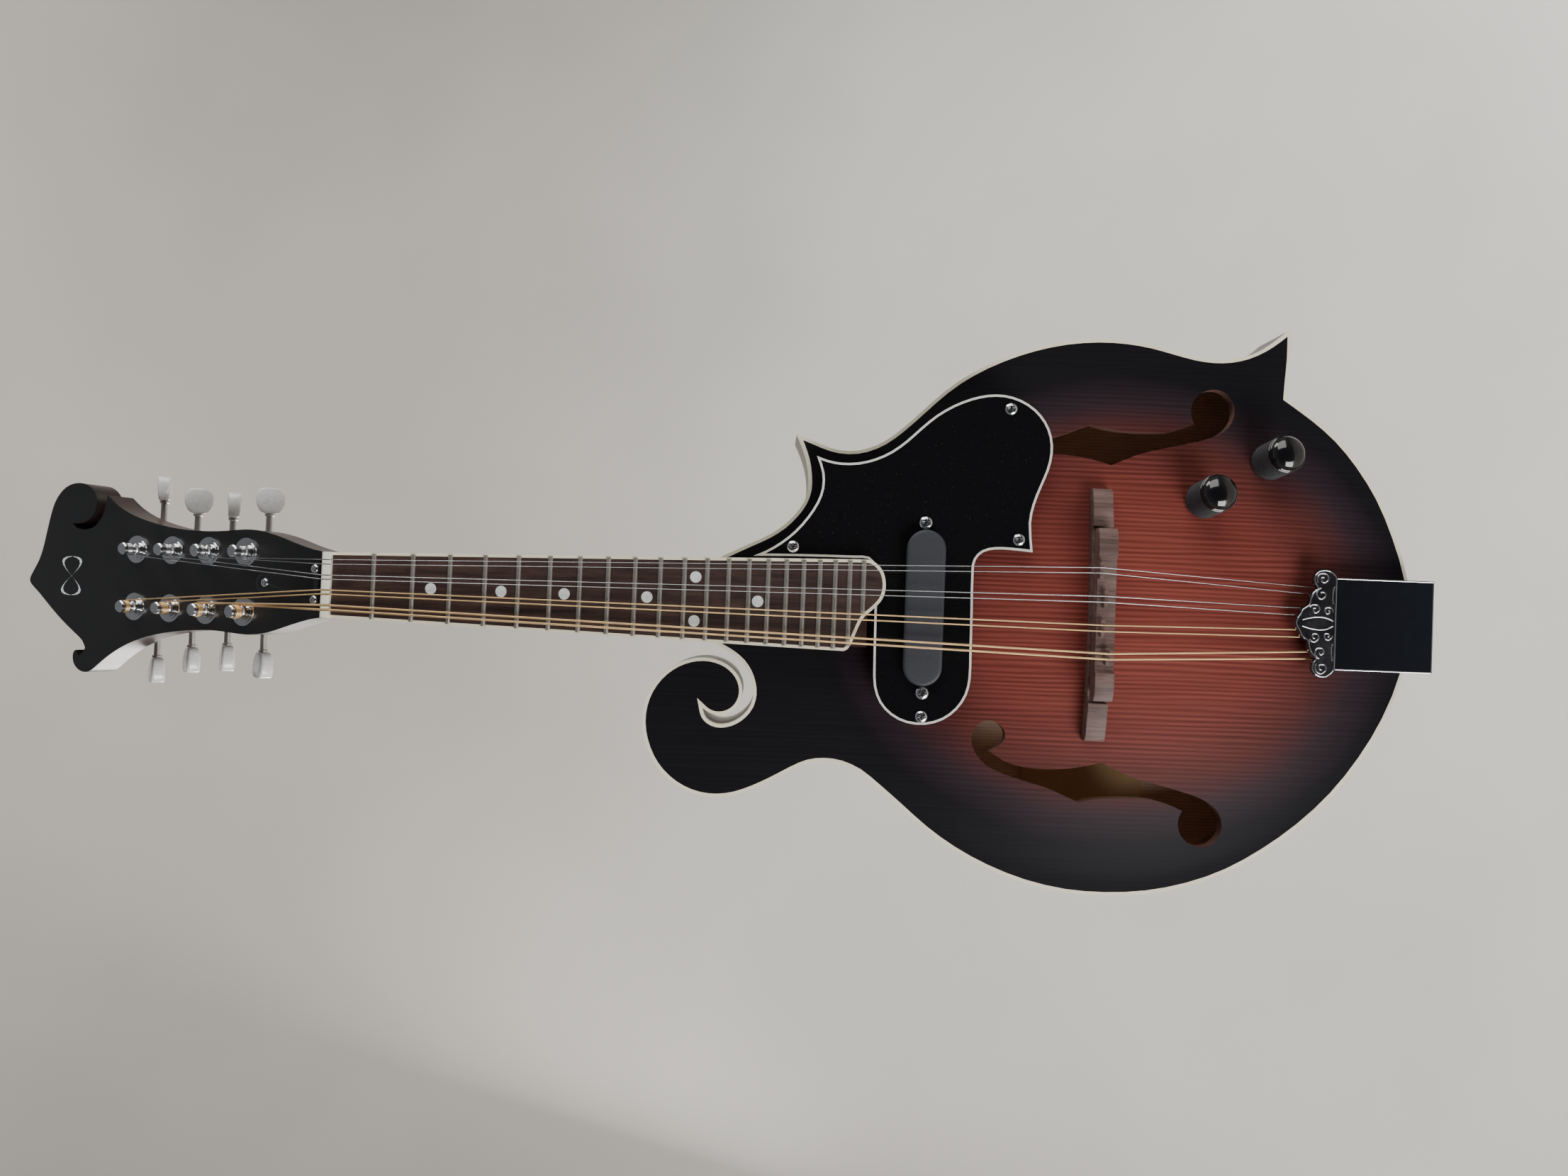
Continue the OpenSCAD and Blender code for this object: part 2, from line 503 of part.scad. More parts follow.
module truss_cover_screws() color([0.8, 0.8, 0.82]) for (p = TRUSS_SCREWS)
    on_head() translate([p.x, p.y, truss_cover_t]) screw(2, 0.9, 1.1, truss_cover_t);

// ---- Fingerboard ----

// Outer edge of the fingerboard from above: straight sides and a curved extension past the last fret
BOARD_END = [[-20.9, -238.2, 1], [-19.8, -240], [-17, -241.6], [-12.5, -243.4], [-8, -245.2], [-5, -247],
    [-2.6, -249.6], [0, -252.3], [3, -254.6], [7, -255.9], [11, -255.9], [15, -254.9], [18.2, -252.6],
    [20.3, -249.4], [20.8, -246, 1], [15.25, 0, 1], [-15.25, 0, 1]];
board_outline = turned_left(smooth(BOARD_END, 3));
module board_shape(points, low, high) on_neck() slab(points, low, high);
// The binding stops at the nut, so the inner outline runs on past it there
board_inner = [for (p = inset(board_outline, 1.4)) p.y > -2 ? [p.x, 0] : p];
function fret_d(n) = scale_length * (1 - pow(2, -n / 12));
module fret(n) {
    half = board_half(-fret_d(n));
    // The last frets are cut short by the curved end
    low = n > 20 ? -3.6 : n > 19 ? -half + 2 : -half + 0.5;
    on_neck() translate([0, -fret_d(n), 0]) {
        along_x([[-1.15, -fret_h], [-0.95, -0.45], [-0.45, -0.06], [0.45, -0.06], [0.95, -0.45], [1.15, -fret_h]],
            low, half - 0.5);
        block([low + 1.6, -tang_t / 2, -fret_h - tang_h], [half - 2.1, tang_t / 2, -fret_h]);
    }
}
module fret_slots() for (n = [1:fret_count]) {
    half = board_half(-fret_d(n));
    low = n > 20 ? -3.6 : n > 19 ? -half + 2 : -half + 0.5;
    on_neck() translate([0, -fret_d(n), 0])
        block([low + 1.6, -tang_t / 2, -fret_h - tang_h], [half - 2.1, tang_t / 2, 0]);
}
// Pearl dots: fret gap and distance from the centreline
DOTS = [[3, 0], [5, 0], [7, 0], [10, 0], [12, -10], [12, 10], [15, 0]];
module dots() for (d = DOTS) on_neck()
    translate([d[1], -(fret_d(d[0] - 1) + fret_d(d[0])) / 2, -fret_h - 1]) cylinder(h = 1, r = 2.6);
module fingerboard() color([0.25, 0.12, 0.09]) difference() {
    board_shape(board_inner, -board_under, -fret_h);
    fret_slots();
    dots();
}
module fingerboard_binding() color([0.93, 0.9, 0.78]) difference() {
    board_shape(board_outline, -board_under, -fret_h);
    board_shape([for (p = board_inner) p.y > -1 ? [p.x, 2] : p], -board_under - 1, 1);
}
module frets() color([0.78, 0.77, 0.74]) for (n = [1:fret_count]) fret(n);
module position_dots() color([0.85, 0.86, 0.86]) dots();
function nut_point(s) = from_neck(s[1], 0, nut_action + s[0]);
function nut_back(s) = from_neck(s[1], -nut_t, nut_action + s[0] + nut_t * tan(nut_slope));
module nut() color([0.92, 0.9, 0.84]) difference() {
    on_neck() along_x([[0.02, -board_under], [nut_t, -board_under], [nut_t, 0.2], [nut_t - 0.8, 1], [1, 1.5],
        [0.02, 1.4]], -nut_width / 2, nut_width / 2);
    for (s = STRINGS) let (r = s[0] + 0.1)
        on_neck() translate([s[1], 0, nut_action + s[0]]) rotate([nut_slope, 0, 0]) translate([0, nut_t + 1, 0])
            rotate([90, 0, 0]) linear_extrude(nut_t + 2)
                polygon(concat([[r, 3], [-r, 3]], [for (a = [180:22.5:360]) r * [cos(a), sin(a)]]));
}

// ---- Pickguard and pickup ----

function stadium(half, r) = concat([for (a = [-90:15:90]) [half - r + r * cos(a), pickup_y + r * sin(a)]],
    [for (a = [90:15:270]) [-half + r + r * cos(a), pickup_y + r * sin(a)]]);
module pickguard() color([0.03, 0.03, 0.04]) difference() {
    on_guard() slab(inset(guard_outline, guard_edge_w), -guard_t, 0);
    on_guard() slab(stadium(pickup_half + 0.2, pickup_r + 0.2), -guard_t - 1, 1);
    for (p = concat(GUARD_SCREWS, PICKUP_SCREWS)) on_guard() translate([p.x, p.y, -4]) cylinder(h = 5, r = 1.2);
}
module pickguard_edge() color([0.9, 0.9, 0.9])
    on_guard() wall(guard_outline, inset(guard_outline, guard_edge_w), -guard_t, 0);
// Wooden blocks that hold the guard above the top
module guard_posts() color([0.12, 0.1, 0.09]) for (p = GUARD_SCREWS) {
    foot = top_z(p) + (top_z(p) > 0 ? 0.9 : 0);
    difference() {
        translate([p.x, p.y, foot]) cylinder(h = guard_z(p.y) - guard_t - foot - 0.45, r = 4);
        on_guard() translate([p.x, p.y, -guard_t - 4.1]) cylinder(h = 5, r = 1.25);
    }
}
module guard_screws() color([0.75, 0.75, 0.78]) {
    for (p = GUARD_SCREWS) on_guard() translate([p.x, p.y, 0]) screw(2.7, 1.1, 1.2, guard_t + 4);
    for (p = PICKUP_SCREWS) on_guard() translate([p.x, p.y, 0]) screw(2.9, 1.2, 1.2, guard_t + 2);
}
module pickup_cover() color([0.13, 0.13, 0.14]) difference() {
    union() {
        on_guard() slab(stadium(pickup_half, pickup_r), -pickup_depth - 1, pickup_proud);
        on_guard() slab(stadium(pickup_half + 7.5, pickup_r - 3), -guard_t - 2, -guard_t);
    }
    on_guard() slab(stadium(pickup_half - 1, pickup_r - 1), -pickup_depth - 2, pickup_proud - 1);
    for (p = PICKUP_SCREWS) on_guard() translate([p.x, p.y, -6]) cylinder(h = 5, r = 1.25);
}
module pickup_coil() color([0.45, 0.22, 0.1])
    on_guard() slab(stadium(pickup_half - 1.3, pickup_r - 1.3), -pickup_depth - 0.5, pickup_proud - 1.2);

// ---- Bridge ----

function crown(s) = from_neck(s[2], scale_length + s[4], saddle_height);
half_base = bridge_length / 2;
// Elevation of the bridge's foot: it follows the arch and steps up at its ends
module bridge_base() color([0.3, 0.2, 0.16]) difference() {
    translate([0, bridge_y + bridge_w / 2, 0]) rotate([90, 0, 0]) linear_extrude(bridge_w) polygon(concat(
        [for (x = [-half_base:half_base / 12:half_base]) [x, arch(x, bridge_y - 5, top_arch) + 0.1]],
        [[half_base, 14.4], [half_base - 1.2, 15.8], [half_base - 4, 16.7], [41, 19.3], [40, 19.3], [40, base_top_z],
            [26, base_top_z], [24, 18.6], [-24, 18.6], [-26, base_top_z], [-40, base_top_z], [-40, 19.3],
            [-41, 19.3], [-half_base + 4, 16.7], [-half_base + 1.2, 15.8], [-half_base, 14.4]]));
    for (x = [-1, 1]) translate([x * bridge_post_x, bridge_y, 13.2]) cylinder(h = 10, r = bridge_post_r);
}
module bridge_posts() color([0.75, 0.7, 0.55]) for (x = [-1, 1])
    translate([x * bridge_post_x, bridge_y, 13.2]) cylinder(h = 11.4, r = bridge_post_r);
module bridge_saddle() color([0.34, 0.2, 0.13]) {
    half = saddle_length / 2;
    difference() {
        union() {
            translate([0, saddle_y + saddle_w / 2, 0]) rotate([90, 0, 0]) linear_extrude(saddle_w)
                polygon([[-half, saddle_bottom_z + 2], [-half + 2, saddle_bottom_z], [half - 2, saddle_bottom_z],
                    [half, saddle_bottom_z + 2], [half, 27.5], [half - 3.5, 29.3], [26, 29.6], [25, 28],
                    [-25, 28], [-26, 29.6], [-half + 3.5, 29.3], [-half, 27.5]]);
            for (c = [0:3]) {
                a = STRINGS[2 * c];
                b = STRINGS[2 * c + 1];
                top = crown(a).z - a[0] - 0.35;
                block([min(a[2], b[2]) - 2.4, crown(a).y - 0.8, 27], [max(a[2], b[2]) + 2.4, crown(a).y + 0.8, top]);
            }
        }
        for (x = [-1, 1]) translate([x * bridge_post_x, bridge_y, saddle_bottom_z - 1])
            cylinder(h = 6.6, r = bridge_post_r + 0.1);
    }
}
module thumbwheel(side) color([0.75, 0.7, 0.55]) translate([side * bridge_post_x, bridge_y, wheel_z]) difference() {
    cylinder(h = wheel_t, r = wheel_r);
    translate([0, 0, -1]) cylinder(h = wheel_t + 2, r = bridge_post_r + running);
}

// ---- Tailpiece and strap button ----

module tailpiece_base() color([0.8, 0.8, 0.83]) {
    lie = [for (y = [-462, -470, -480, -490, -498]) [y, arch(0, y, top_arch) + tail_lift]];
    front = lie[0];
    difference() {
        along_x(concat(lie, [[-505, 0.1], [-505, -36], [-505 - tail_sheet, -36], [-505 - tail_sheet, tail_sheet],
            [-498, tail_sheet + tail_lift]], [for (i = [3:-1:0]) lie[i] + [0, tail_sheet]]), -tail_half, tail_half);
        translate([0, tail_y - 4, tail_pin_z]) rotate([-90, 0, 0]) cylinder(h = 10, r = 2.6);
        for (x = [-14, 14]) translate([x, tail_y - 4, -12]) rotate([-90, 0, 0]) cylinder(h = 12, r = 1.4);
    }
    // Side flanges that guide the cover
    for (x = [-tail_half, tail_half - 0.8])
        along_x([front, [-498, 0.2], [-504, 0.2], [-504, 6], [front.x, 9.5]], x, x + 0.8);
    // One hook for each string, rising from the sheet
    for (s = STRINGS) along_x([[hook_y - 0.8, 4.5], [hook_y - 2.6, 4.2], [hook_y - 2.6, hook_z + 2],
        [hook_y - 0.8, hook_z + 2.4]], s[3] - 1, s[3] + 1);
}
cloud_outline = turned_left(smooth(concat(CLOUD, [for (i = [len(CLOUD) - 2:-1:1]) mirrored([CLOUD[i]])[0]]), 2));
module tailpiece_cover() color([0.86, 0.87, 0.9]) {
    out = tail_half + 0.3 + cover_sheet;
    end_y = -507.5;
    union() {
        block([-out, end_y, cover_top_z - cover_sheet], [out, -460, cover_top_z]);
        for (x = [-out, out - cover_sheet])
            along_x([[-461, 5.2], [end_y, 1.4], [end_y, cover_top_z], [-461, cover_top_z]], x, x + cover_sheet);
        block([-out, end_y, 1.4], [out, end_y + cover_sheet, cover_top_z]);
        slab(cloud_outline, cover_top_z - 0.1, cover_top_z + 1.5);
    }
}
module tailpiece_screws() color([0.75, 0.75, 0.78]) for (x = [-14, 14])
    translate([x, -505 - tail_sheet, -12]) rotate([90, 0, 0]) screw(2.6, 1.2, 1.3, 14);
module strap_button() color([0.8, 0.8, 0.83]) translate([0, -505 - tail_sheet, tail_pin_z]) rotate([90, 0, 0])
    rotate_extrude() polygon([[0, -16], [2.6, -15], [2.6, 0], [5.5, 0], [5.2, 1.4], [3.6, 3.6], [3.4, 6],
        [4.4, 8.4], [6.8, 10.2], [7, 11.4], [6, 12.6], [3, 13.2], [0, 13.4]]);

// ---- Controls and wiring ----

module output_jack() color([0.78, 0.78, 0.8])
    translate(jack_at) aim([cos(jack_angle), sin(jack_angle), 0]) difference() {
        union() {
            translate([0, 0, 4 - jack_length]) cylinder(h = jack_length, r = 4.7);
            translate([0, 0, 0.7]) cylinder(h = 2, r = 7.5);
            translate([0, 0, -5.2]) cylinder(h = 1.5, r = 6.2);
        }
        translate([0, 0, 6 - jack_length]) cylinder(h = jack_length, r = jack_bore_r);
    }
module potentiometers() color([0.6, 0.6, 0.6]) for (p = KNOBS)
    translate([p.x, p.y, top_z(p)]) aim(top_normal(p)) difference() {
        union() {
            translate([0, 0, -7.2]) cylinder(h = 7.4, r = 3.9);
            translate([0, 0, -7.2]) cylinder(h = 0.8, r = 6);
            translate([0, 0, -16]) cylinder(h = 8.8, r = 8);
        }
        translate([0, 0, -14]) cylinder(h = 16, r = shaft_r + running);
    }
module control_knob(p) color([0.04, 0.04, 0.05]) translate([p.x, p.y, top_z(p)]) aim(top_normal(p)) {
    translate([0, 0, -13.5]) cylinder(h = 18, r = shaft_r);
    rotate_extrude() polygon(concat([[0, 1.2], [knob_r, 1.2], [knob_r, knob_h - knob_dome - 0.5],
        [knob_r - 0.3, knob_h - knob_dome + 0.4]],
        [for (a = [10:16:90]) [(knob_r - 0.4) * cos(a), knob_h - knob_dome * (1 - sin(a))]]));
}
module wiring() color([0.15, 0.15, 0.15]) {
    wire(PICKUP_LEAD, lead_r);
    wire(TONE_LEAD, lead_r);
    wire(JACK_LEAD, lead_r);
}

// ---- Tuners ----

module tuner_plates() color([0.8, 0.8, 0.82]) for (side = [-1, 1]) {
    difference() {
        on_head() block([side * post_x - 6.5, post_u(1) - 9, head_back_w - tuner_plate_t],
            [side * post_x + 6.5, post_u(4) + 14, head_back_w]);
        on_head() tuner_holes(post_r + running);
    }
    for (i = [1:4]) on_head() translate([side * post_x, post_u(i), 0]) {
        difference() {
            union() {
                cylinder(h = bushing_flange_t * 0.6, r = bushing_flange_r);
                cylinder(h = bushing_flange_t, r = bushing_flange_r - 1.4);
                translate([0, 0, head_back_w]) cylinder(h = -head_back_w + 1, r = bushing_r);
                cylinder(h = 2.4, r = 4.2);
            }
            translate([0, 0, head_back_w - 2]) cylinder(h = 30, r = post_r + running);
        }
        for (x = [-ear_gap, ear_gap - ear_t]) difference() {
            block([x, worm_offset - ear_half, worm_w - 3], [x + ear_t, worm_offset + ear_half, head_back_w - tuner_plate_t]);
            translate([x - 1, worm_offset, worm_w]) rotate([0, 90, 0]) cylinder(h = ear_t + 2, r = key_r + running);
        }
    }
}
// String post with its gear behind the headstock
module tuner_post(side, i) color([0.8, 0.8, 0.82]) on_head() translate([side * post_x, post_u(i), 0])
    rotate_extrude() polygon([[0, worm_w - gear_t / 2 - 1.6], [2.2, worm_w - gear_t / 2 - 1.6],
        [2.6, worm_w - gear_t / 2], [gear_r, worm_w - gear_t / 2], [gear_r, worm_w + gear_t / 2],
        [post_r, worm_w + gear_t / 2], [post_r, 2.2], [post_waist_r, 3.2], [post_waist_r - 0.1, 7.4], [post_r, 8.1],
        [post_r, post_top_w - 0.5], [post_r - 0.5, post_top_w], [0, post_top_w]]);
// Flattened oval button outline: x along the shaft from the button's centre
BUTTON = [[-6.9, 3.2, 1], [-4, 5.6], [0, 6.7], [3.6, 6.6], [6.2, 4.8], [6.9, 2], [6.9, -2], [6.2, -4.8],
    [3.6, -6.6], [0, -6.7], [-4, -5.6], [-6.9, -3.2, 1]];
module tuner_key(side, i) {
    reach = KEY_REACH[i - 1];
    turn = side < 0 ? BASS_TURN[i - 1] : TREBLE_TURN[i - 1];
    shaft_start = post_x - ear_gap - 1.2;
    on_head() translate([0, post_u(i) + worm_offset, worm_w]) rotate([0, 0, side < 0 ? 180 : 0]) {
        color([0.8, 0.8, 0.82]) {
            translate([shaft_start, 0, 0]) rotate([0, 90, 0]) cylinder(h = reach - shaft_start, r = key_r);
            translate([post_x - 4.5, 0, 0]) rotate([0, 90, 0]) cylinder(h = 9, r = worm_r);
            translate([post_x + ear_gap + 0.3, 0, 0]) rotate([0, 90, 0]) cylinder(h = 1.4, r = 2.8);
        }
        color([0.93, 0.93, 0.92]) difference() {
            translate([reach, 0, 0]) rotate([turn, 0, 0]) slab(smooth(BUTTON, 2), -button_t / 2, button_t / 2);
            translate([reach - 10, 0, 0]) rotate([0, 90, 0]) cylinder(h = 10, r = key_r);
        }
    }
}

// ---- Strings ----

// Where a string comes to its post: on the side towards the centreline
function post_point(k) = let (s = STRINGS[k], side = k < 4 ? -1 : 1)
    from_head(side * (post_x - post_waist_r - s[0] - string_clear), post_u(STRING_POST[k]),
        POST_WRAP[STRING_POST[k] - 1]);
function string_path(k) = let (s = STRINGS[k])
    [post_point(k), nut_back(s), nut_point(s), crown(s), [s[3], hook_y - 0.2, hook_z]];
module string(k) wire(string_path(k), STRINGS[k][0]);
module wound_strings() color([0.72, 0.5, 0.26]) for (k = [0:3]) string(k);
module plain_strings() color([0.8, 0.8, 0.82]) for (k = [4:7]) string(k);

// ---- Assembly ----

hang() top_plate();
hang() back_plate();
hang() rim();
hang() front_binding();
hang() back_binding();
hang() linings();
hang() tone_bars();
hang() neck_block();
hang() tail_block();
hang() neck();
hang() headstock_overlay();
hang() headstock_inlay();
hang() truss_rod();
hang() truss_rod_cover();
hang() truss_cover_screws();
hang() fingerboard();
hang() fingerboard_binding();
hang() frets();
hang() position_dots();
hang() nut();
hang() pickguard();
hang() pickguard_edge();
hang() guard_posts();
hang() guard_screws();
hang() pickup_cover();
hang() pickup_coil();
hang() bridge_base();
hang() bridge_posts();
hang() bridge_saddle();
hang() thumbwheel(-1);  // bass_thumbwheel
hang() thumbwheel(1);  // treble_thumbwheel
hang() tailpiece_base();
hang() tailpiece_cover();
hang() tailpiece_screws();
hang() strap_button();
hang() output_jack();
hang() potentiometers();
hang() control_knob(KNOBS[0]);  // volume_knob
hang() control_knob(KNOBS[1]);  // tone_knob
hang() wiring();
hang() label();
hang() tuner_plates();
for (i = [1:4]) {
    hang() tuner_post(-1, i);
    hang() tuner_post(1, i);
    hang() tuner_key(-1, i);
    hang() tuner_key(1, i);
}
hang() wound_strings();
hang() plain_strings();
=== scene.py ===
"""A scrolled-body mandolin with a sunburst top, built round its loaded frame.

Shapes are worked out on a bench, in millimetres: x runs across the instrument with the treble side
positive, y runs along the neck towards the headstock and z comes out of the front. Zero is at the nut,
on the plane of the fret crowns. upright() stands a shape up in the frame's own axes, in metres.
"""

import json
import math

import bpy
import numpy as np
from bpy.props import FloatProperty, FloatVectorProperty, IntProperty, PointerProperty
from mathutils import Matrix, Vector
from mathutils.geometry import delaunay_2d_cdt


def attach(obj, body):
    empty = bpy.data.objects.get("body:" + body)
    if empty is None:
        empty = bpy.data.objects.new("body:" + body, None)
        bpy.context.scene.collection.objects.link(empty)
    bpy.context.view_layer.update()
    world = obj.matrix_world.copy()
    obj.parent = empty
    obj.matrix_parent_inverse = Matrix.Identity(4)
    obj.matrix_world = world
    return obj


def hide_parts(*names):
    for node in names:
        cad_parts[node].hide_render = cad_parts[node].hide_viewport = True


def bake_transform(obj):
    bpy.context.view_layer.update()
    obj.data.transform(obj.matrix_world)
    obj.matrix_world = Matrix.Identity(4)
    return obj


bl_info = {
    "name": "Scrolled Mandolin",
    "version": (1, 0, 0),
    "blender": (4, 5, 0),
    "location": "3D View > Sidebar > Mandolin",
    "description": "Builds the visible pieces of a mandolin round its frame",
    "category": "Object",
}

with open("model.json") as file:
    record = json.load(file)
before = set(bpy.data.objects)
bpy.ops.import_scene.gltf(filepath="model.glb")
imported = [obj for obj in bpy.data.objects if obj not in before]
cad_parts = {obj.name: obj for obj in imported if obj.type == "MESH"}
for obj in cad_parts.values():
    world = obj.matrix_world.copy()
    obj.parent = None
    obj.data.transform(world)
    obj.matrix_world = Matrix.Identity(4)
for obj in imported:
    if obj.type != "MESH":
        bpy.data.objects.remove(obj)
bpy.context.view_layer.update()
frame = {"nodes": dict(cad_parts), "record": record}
MM = 0.001

NECK_ANGLE = math.radians(4.5)
HEAD_ANGLE = math.radians(17)
HEAD_DROP = 4.0
SCALE_LENGTH = 350.0

# The carved arch stands on an oval
ARCH_Y = -362.0
ARCH_RX, ARCH_RY = 124.0, 136.0
ARCH_LEDGE = 8.0
TOP_ARCH, BACK_ARCH = 13.5, 13.0
PLATE_T = 5.0
RIM_DEPTH = 40.0

# The pickguard's plane is parallel to the neck, through this point over the body
GUARD_Y, GUARD_Z = -250.0, 13.5
# The pickup is a rounded bar: half its length, its radius and its place along the guard
PICKUP_HALF, PICKUP_R, PICKUP_Y = 35.3, 8.8, -273.5

# Strings from the bass side: radius, x at nut, x at saddle, x at tail, added length at the saddle and post
STRINGS = [
    (0.5, -11.6, -19.7, -15.8, 4.5, 1),
    (0.5, -9.5, -17.2, -12.5, 4.5, 2),
    (0.33, -4.4, -7.4, -6.4, 2, 3),
    (0.33, -2.5, -4.7, -2.9, 2, 4),
    (0.2, 2.5, 5.5, 2.9, 3, 4),
    (0.2, 4.4, 8.1, 6.4, 3, 3),
    (0.15, 9.5, 18.3, 12.5, 0.8, 2),
    (0.15, 11.6, 20.7, 15.8, 0.8, 1),
]
SADDLE_HEIGHT = 4.0
NUT_ACTION = 0.5
NUT_T = 4.6
NUT_SLOPE = math.tan(math.radians(4))
HOOK = (-468.2, 7.0)
POST_X, FIRST_POST, POST_GAP = 14.4, 53.7, 23.6
POST_WAIST_R = 2.45
POST_WRAP = {1: 3.6, 2: 4.9, 3: 3.6, 4: 4.9}
STRING_CLEAR = 0.35
WRAP_TOP = 7.6

KEY_REACH = {1: 41.3, 2: 39.0, 3: 41.0, 4: 47.5}
KEY_TURN = {"bass": (26, 38, 31, 33), "treble": (48, 138, 48, 131)}
WORM_OFFSET, WORM_W = 8.0, -21.7

# Control knob: its skirt's radius, the ends of its grooves, and its dome's radius, foot and rise
KNOB_R, GROOVE_LOW, GROOVE_HIGH = 8.7, 1.6, 16.7
DOME_R, DOME_FOOT, DOME_RISE = 8.1, 17.8, 5.0

# Rounded rails along the tailpiece cover's edges: distance from the centreline, height, radius and stations
RAIL_X, RAIL_Z, RAIL_R = 20.8, 12.95, 0.42
RAIL_Y = (-462.6, -484.9, -507.1)
# One half of the cover's ornament. Scrolls: centre, first and last radius, start and turns. Leaves: three points
SCROLLS = (
    ((20.3, -455.8), 3.2, 0.7, 2.2, -1.35), ((13.2, -455.2), 2.9, 0.6, 0.2, 1.2),
    ((6.2, -452.3), 2.6, 0.6, 1.2, -1.2), ((5.6, -458.2), 2.2, 0.5, 4.6, 1.2),
)
LEAVES = (((1.2, -460.5), (4.5, -455.5), (1.4, -446.5)), ((9, -460.6), (11.5, -459.5), (17, -460.6)))
SCROLL_R, SCROLL_LIFT = 0.32, 0.05


# ---------------------------------------------------------------- places


def upright(points):
    """Bench millimetres to the frame's metres: x stays, z comes forward as -Y and y goes up as Z."""
    p = np.asarray(points, float)
    return np.stack([p[..., 0], -p[..., 2], p[..., 1]], -1) * MM


def tilted(points, angle):
    """Points turned about x, so that the headstock's end goes back by the angle."""
    p = np.asarray(points, float)
    c, s = math.cos(angle), math.sin(angle)
    return np.stack([p[..., 0], p[..., 1] * c + p[..., 2] * s, -p[..., 1] * s + p[..., 2] * c], -1)


def on_neck(points):
    """A point in the frame of the fret crowns' plane, tilted back by the neck angle about the nut."""
    return tilted(points, NECK_ANGLE)


def on_head(points):
    """A point in the headstock face's frame: tilted back by the head angle, then dropped, then on the neck."""
    return on_neck(tilted(points, HEAD_ANGLE) + np.array([0, 0, -HEAD_DROP]))


def on_guard(points):
    """A point in the pickguard's frame: parallel to the neck through a point over the body."""
    return on_neck(np.asarray(points, float) - np.array([0, GUARD_Y, 0])) + np.array([0, GUARD_Y, GUARD_Z])


def arch(x, y, rise, ledge=0.0):
    """rise times (1 - r squared) to the power 1.5, with r the distance from the oval's centre over its radius."""
    r2 = (x / (ARCH_RX - ledge)) ** 2 + ((y - ARCH_Y) / (ARCH_RY - ledge)) ** 2
    return rise * np.clip(1 - r2, 0, 1) ** 1.5


def joint(name):
    """The named joint's point and axis, in the frame's metres."""
    for entry in frame["record"]["behaviour"]["joints"]:
        if entry["name"] == name:
            return np.array(entry.get("pos_m", (0, 0, 0)), float), np.array(entry["axis"], float)
    raise KeyError(name)


# ---------------------------------------------------------------- meshes


def new_piece(name, verts, faces, body, materials, angle=35.0, replaces=()):
    """A mesh object at the origin, its smooth faces parted where they meet at more than the angle."""
    mesh = bpy.data.meshes.new(name)
    mesh.from_pydata(np.asarray(verts).reshape(-1, 3).tolist(), [], [list(f) for f in faces])
    mesh.validate()
    mesh.polygons.foreach_set("use_smooth", np.ones(len(mesh.polygons), bool))
    mesh.set_sharp_from_angle(angle=math.radians(angle))
    for m in materials if isinstance(materials, (list, tuple)) else [materials]:
        mesh.materials.append(m)
    piece = bpy.data.objects.new(name, mesh)
    bpy.context.scene.collection.objects.link(piece)
    if body:
        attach(piece, body)
    if replaces:
        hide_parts(*replaces)
    return piece


def grid_quads(rows, cols, start=0):
    """Quads of a grid that closes round along its columns."""
    r, c = np.meshgrid(np.arange(rows - 1), np.arange(cols), indexing="ij")
    a = r * cols + c
    b = r * cols + (c + 1) % cols
    return (np.stack([a, b, b + cols, a + cols], -1).reshape(-1, 4) + start).tolist()


def lofted(rings):
    """Vertices and faces of a closed skin over rings of equal length, with a flat cap at each end."""
    rings = np.asarray(rings, float)
    rows, cols = rings.shape[:2]
    faces = grid_quads(rows, cols)
    faces.append(list(range(cols - 1, -1, -1)))
    faces.append([(rows - 1) * cols + k for k in range(cols)])
    return rings.reshape(-1, 3), faces


def revolved(profile, sides=64):
    """Rings of a shape of revolution about z: each profile point (radius, height) goes round a circle."""
    profile = np.asarray(profile, float)
    a = np.linspace(0, 2 * math.pi, sides, endpoint=False)
    x = profile[:, :1] * np.cos(a)
    y = profile[:, :1] * np.sin(a)
    return np.stack([x, y, np.broadcast_to(profile[:, 1:], x.shape)], -1)


def rows_unit(v):
    """Rows scaled to length one."""
    return v / np.linalg.norm(v, axis=-1, keepdims=True)


def at_height(line, z):
    """A plan line's points at one height."""
    return np.column_stack([line, np.full(len(line), z)])


def tube(path, radius, sides=12, reference=(1, 0, 0)):
    """Rings of a round tube: at each path point a circle stands across the path's direction there."""
    path = np.asarray(path, float)
    step = rows_unit(np.diff(path, axis=0))
    along = rows_unit(np.vstack([step[:1], step[1:] + step[:-1], step[-1:]]))
    a = rows_unit(np.cross(np.asarray(reference, float), along))
    b = np.cross(along, a)
    t = np.linspace(0, 2 * math.pi, sides, endpoint=False)[None, :, None]
    r = np.broadcast_to(np.asarray(radius, float), (len(path),))[:, None, None]
    return path[:, None] + r * (a[:, None] * np.cos(t) + b[:, None] * np.sin(t))


def joined(parts):
    """Vertices and faces of several skins, as one list each."""
    verts, faces, start = [], [], 0
    for v, f in parts:
        verts.append(np.asarray(v).reshape(-1, 3))
        faces += [[i + start for i in face] for face in f]
        start += len(verts[-1])
    return np.vstack(verts), faces


def turn_to(axis):
    """Rotation whose third column is the axis, as a matrix for rows of points."""
    z = np.asarray(axis, float) / np.linalg.norm(axis)
    x = np.cross((0, 0, 1) if abs(z[2]) < 0.9 else (1, 0, 0), z)
    x /= np.linalg.norm(x)
    return np.stack([x, np.cross(z, x), z])


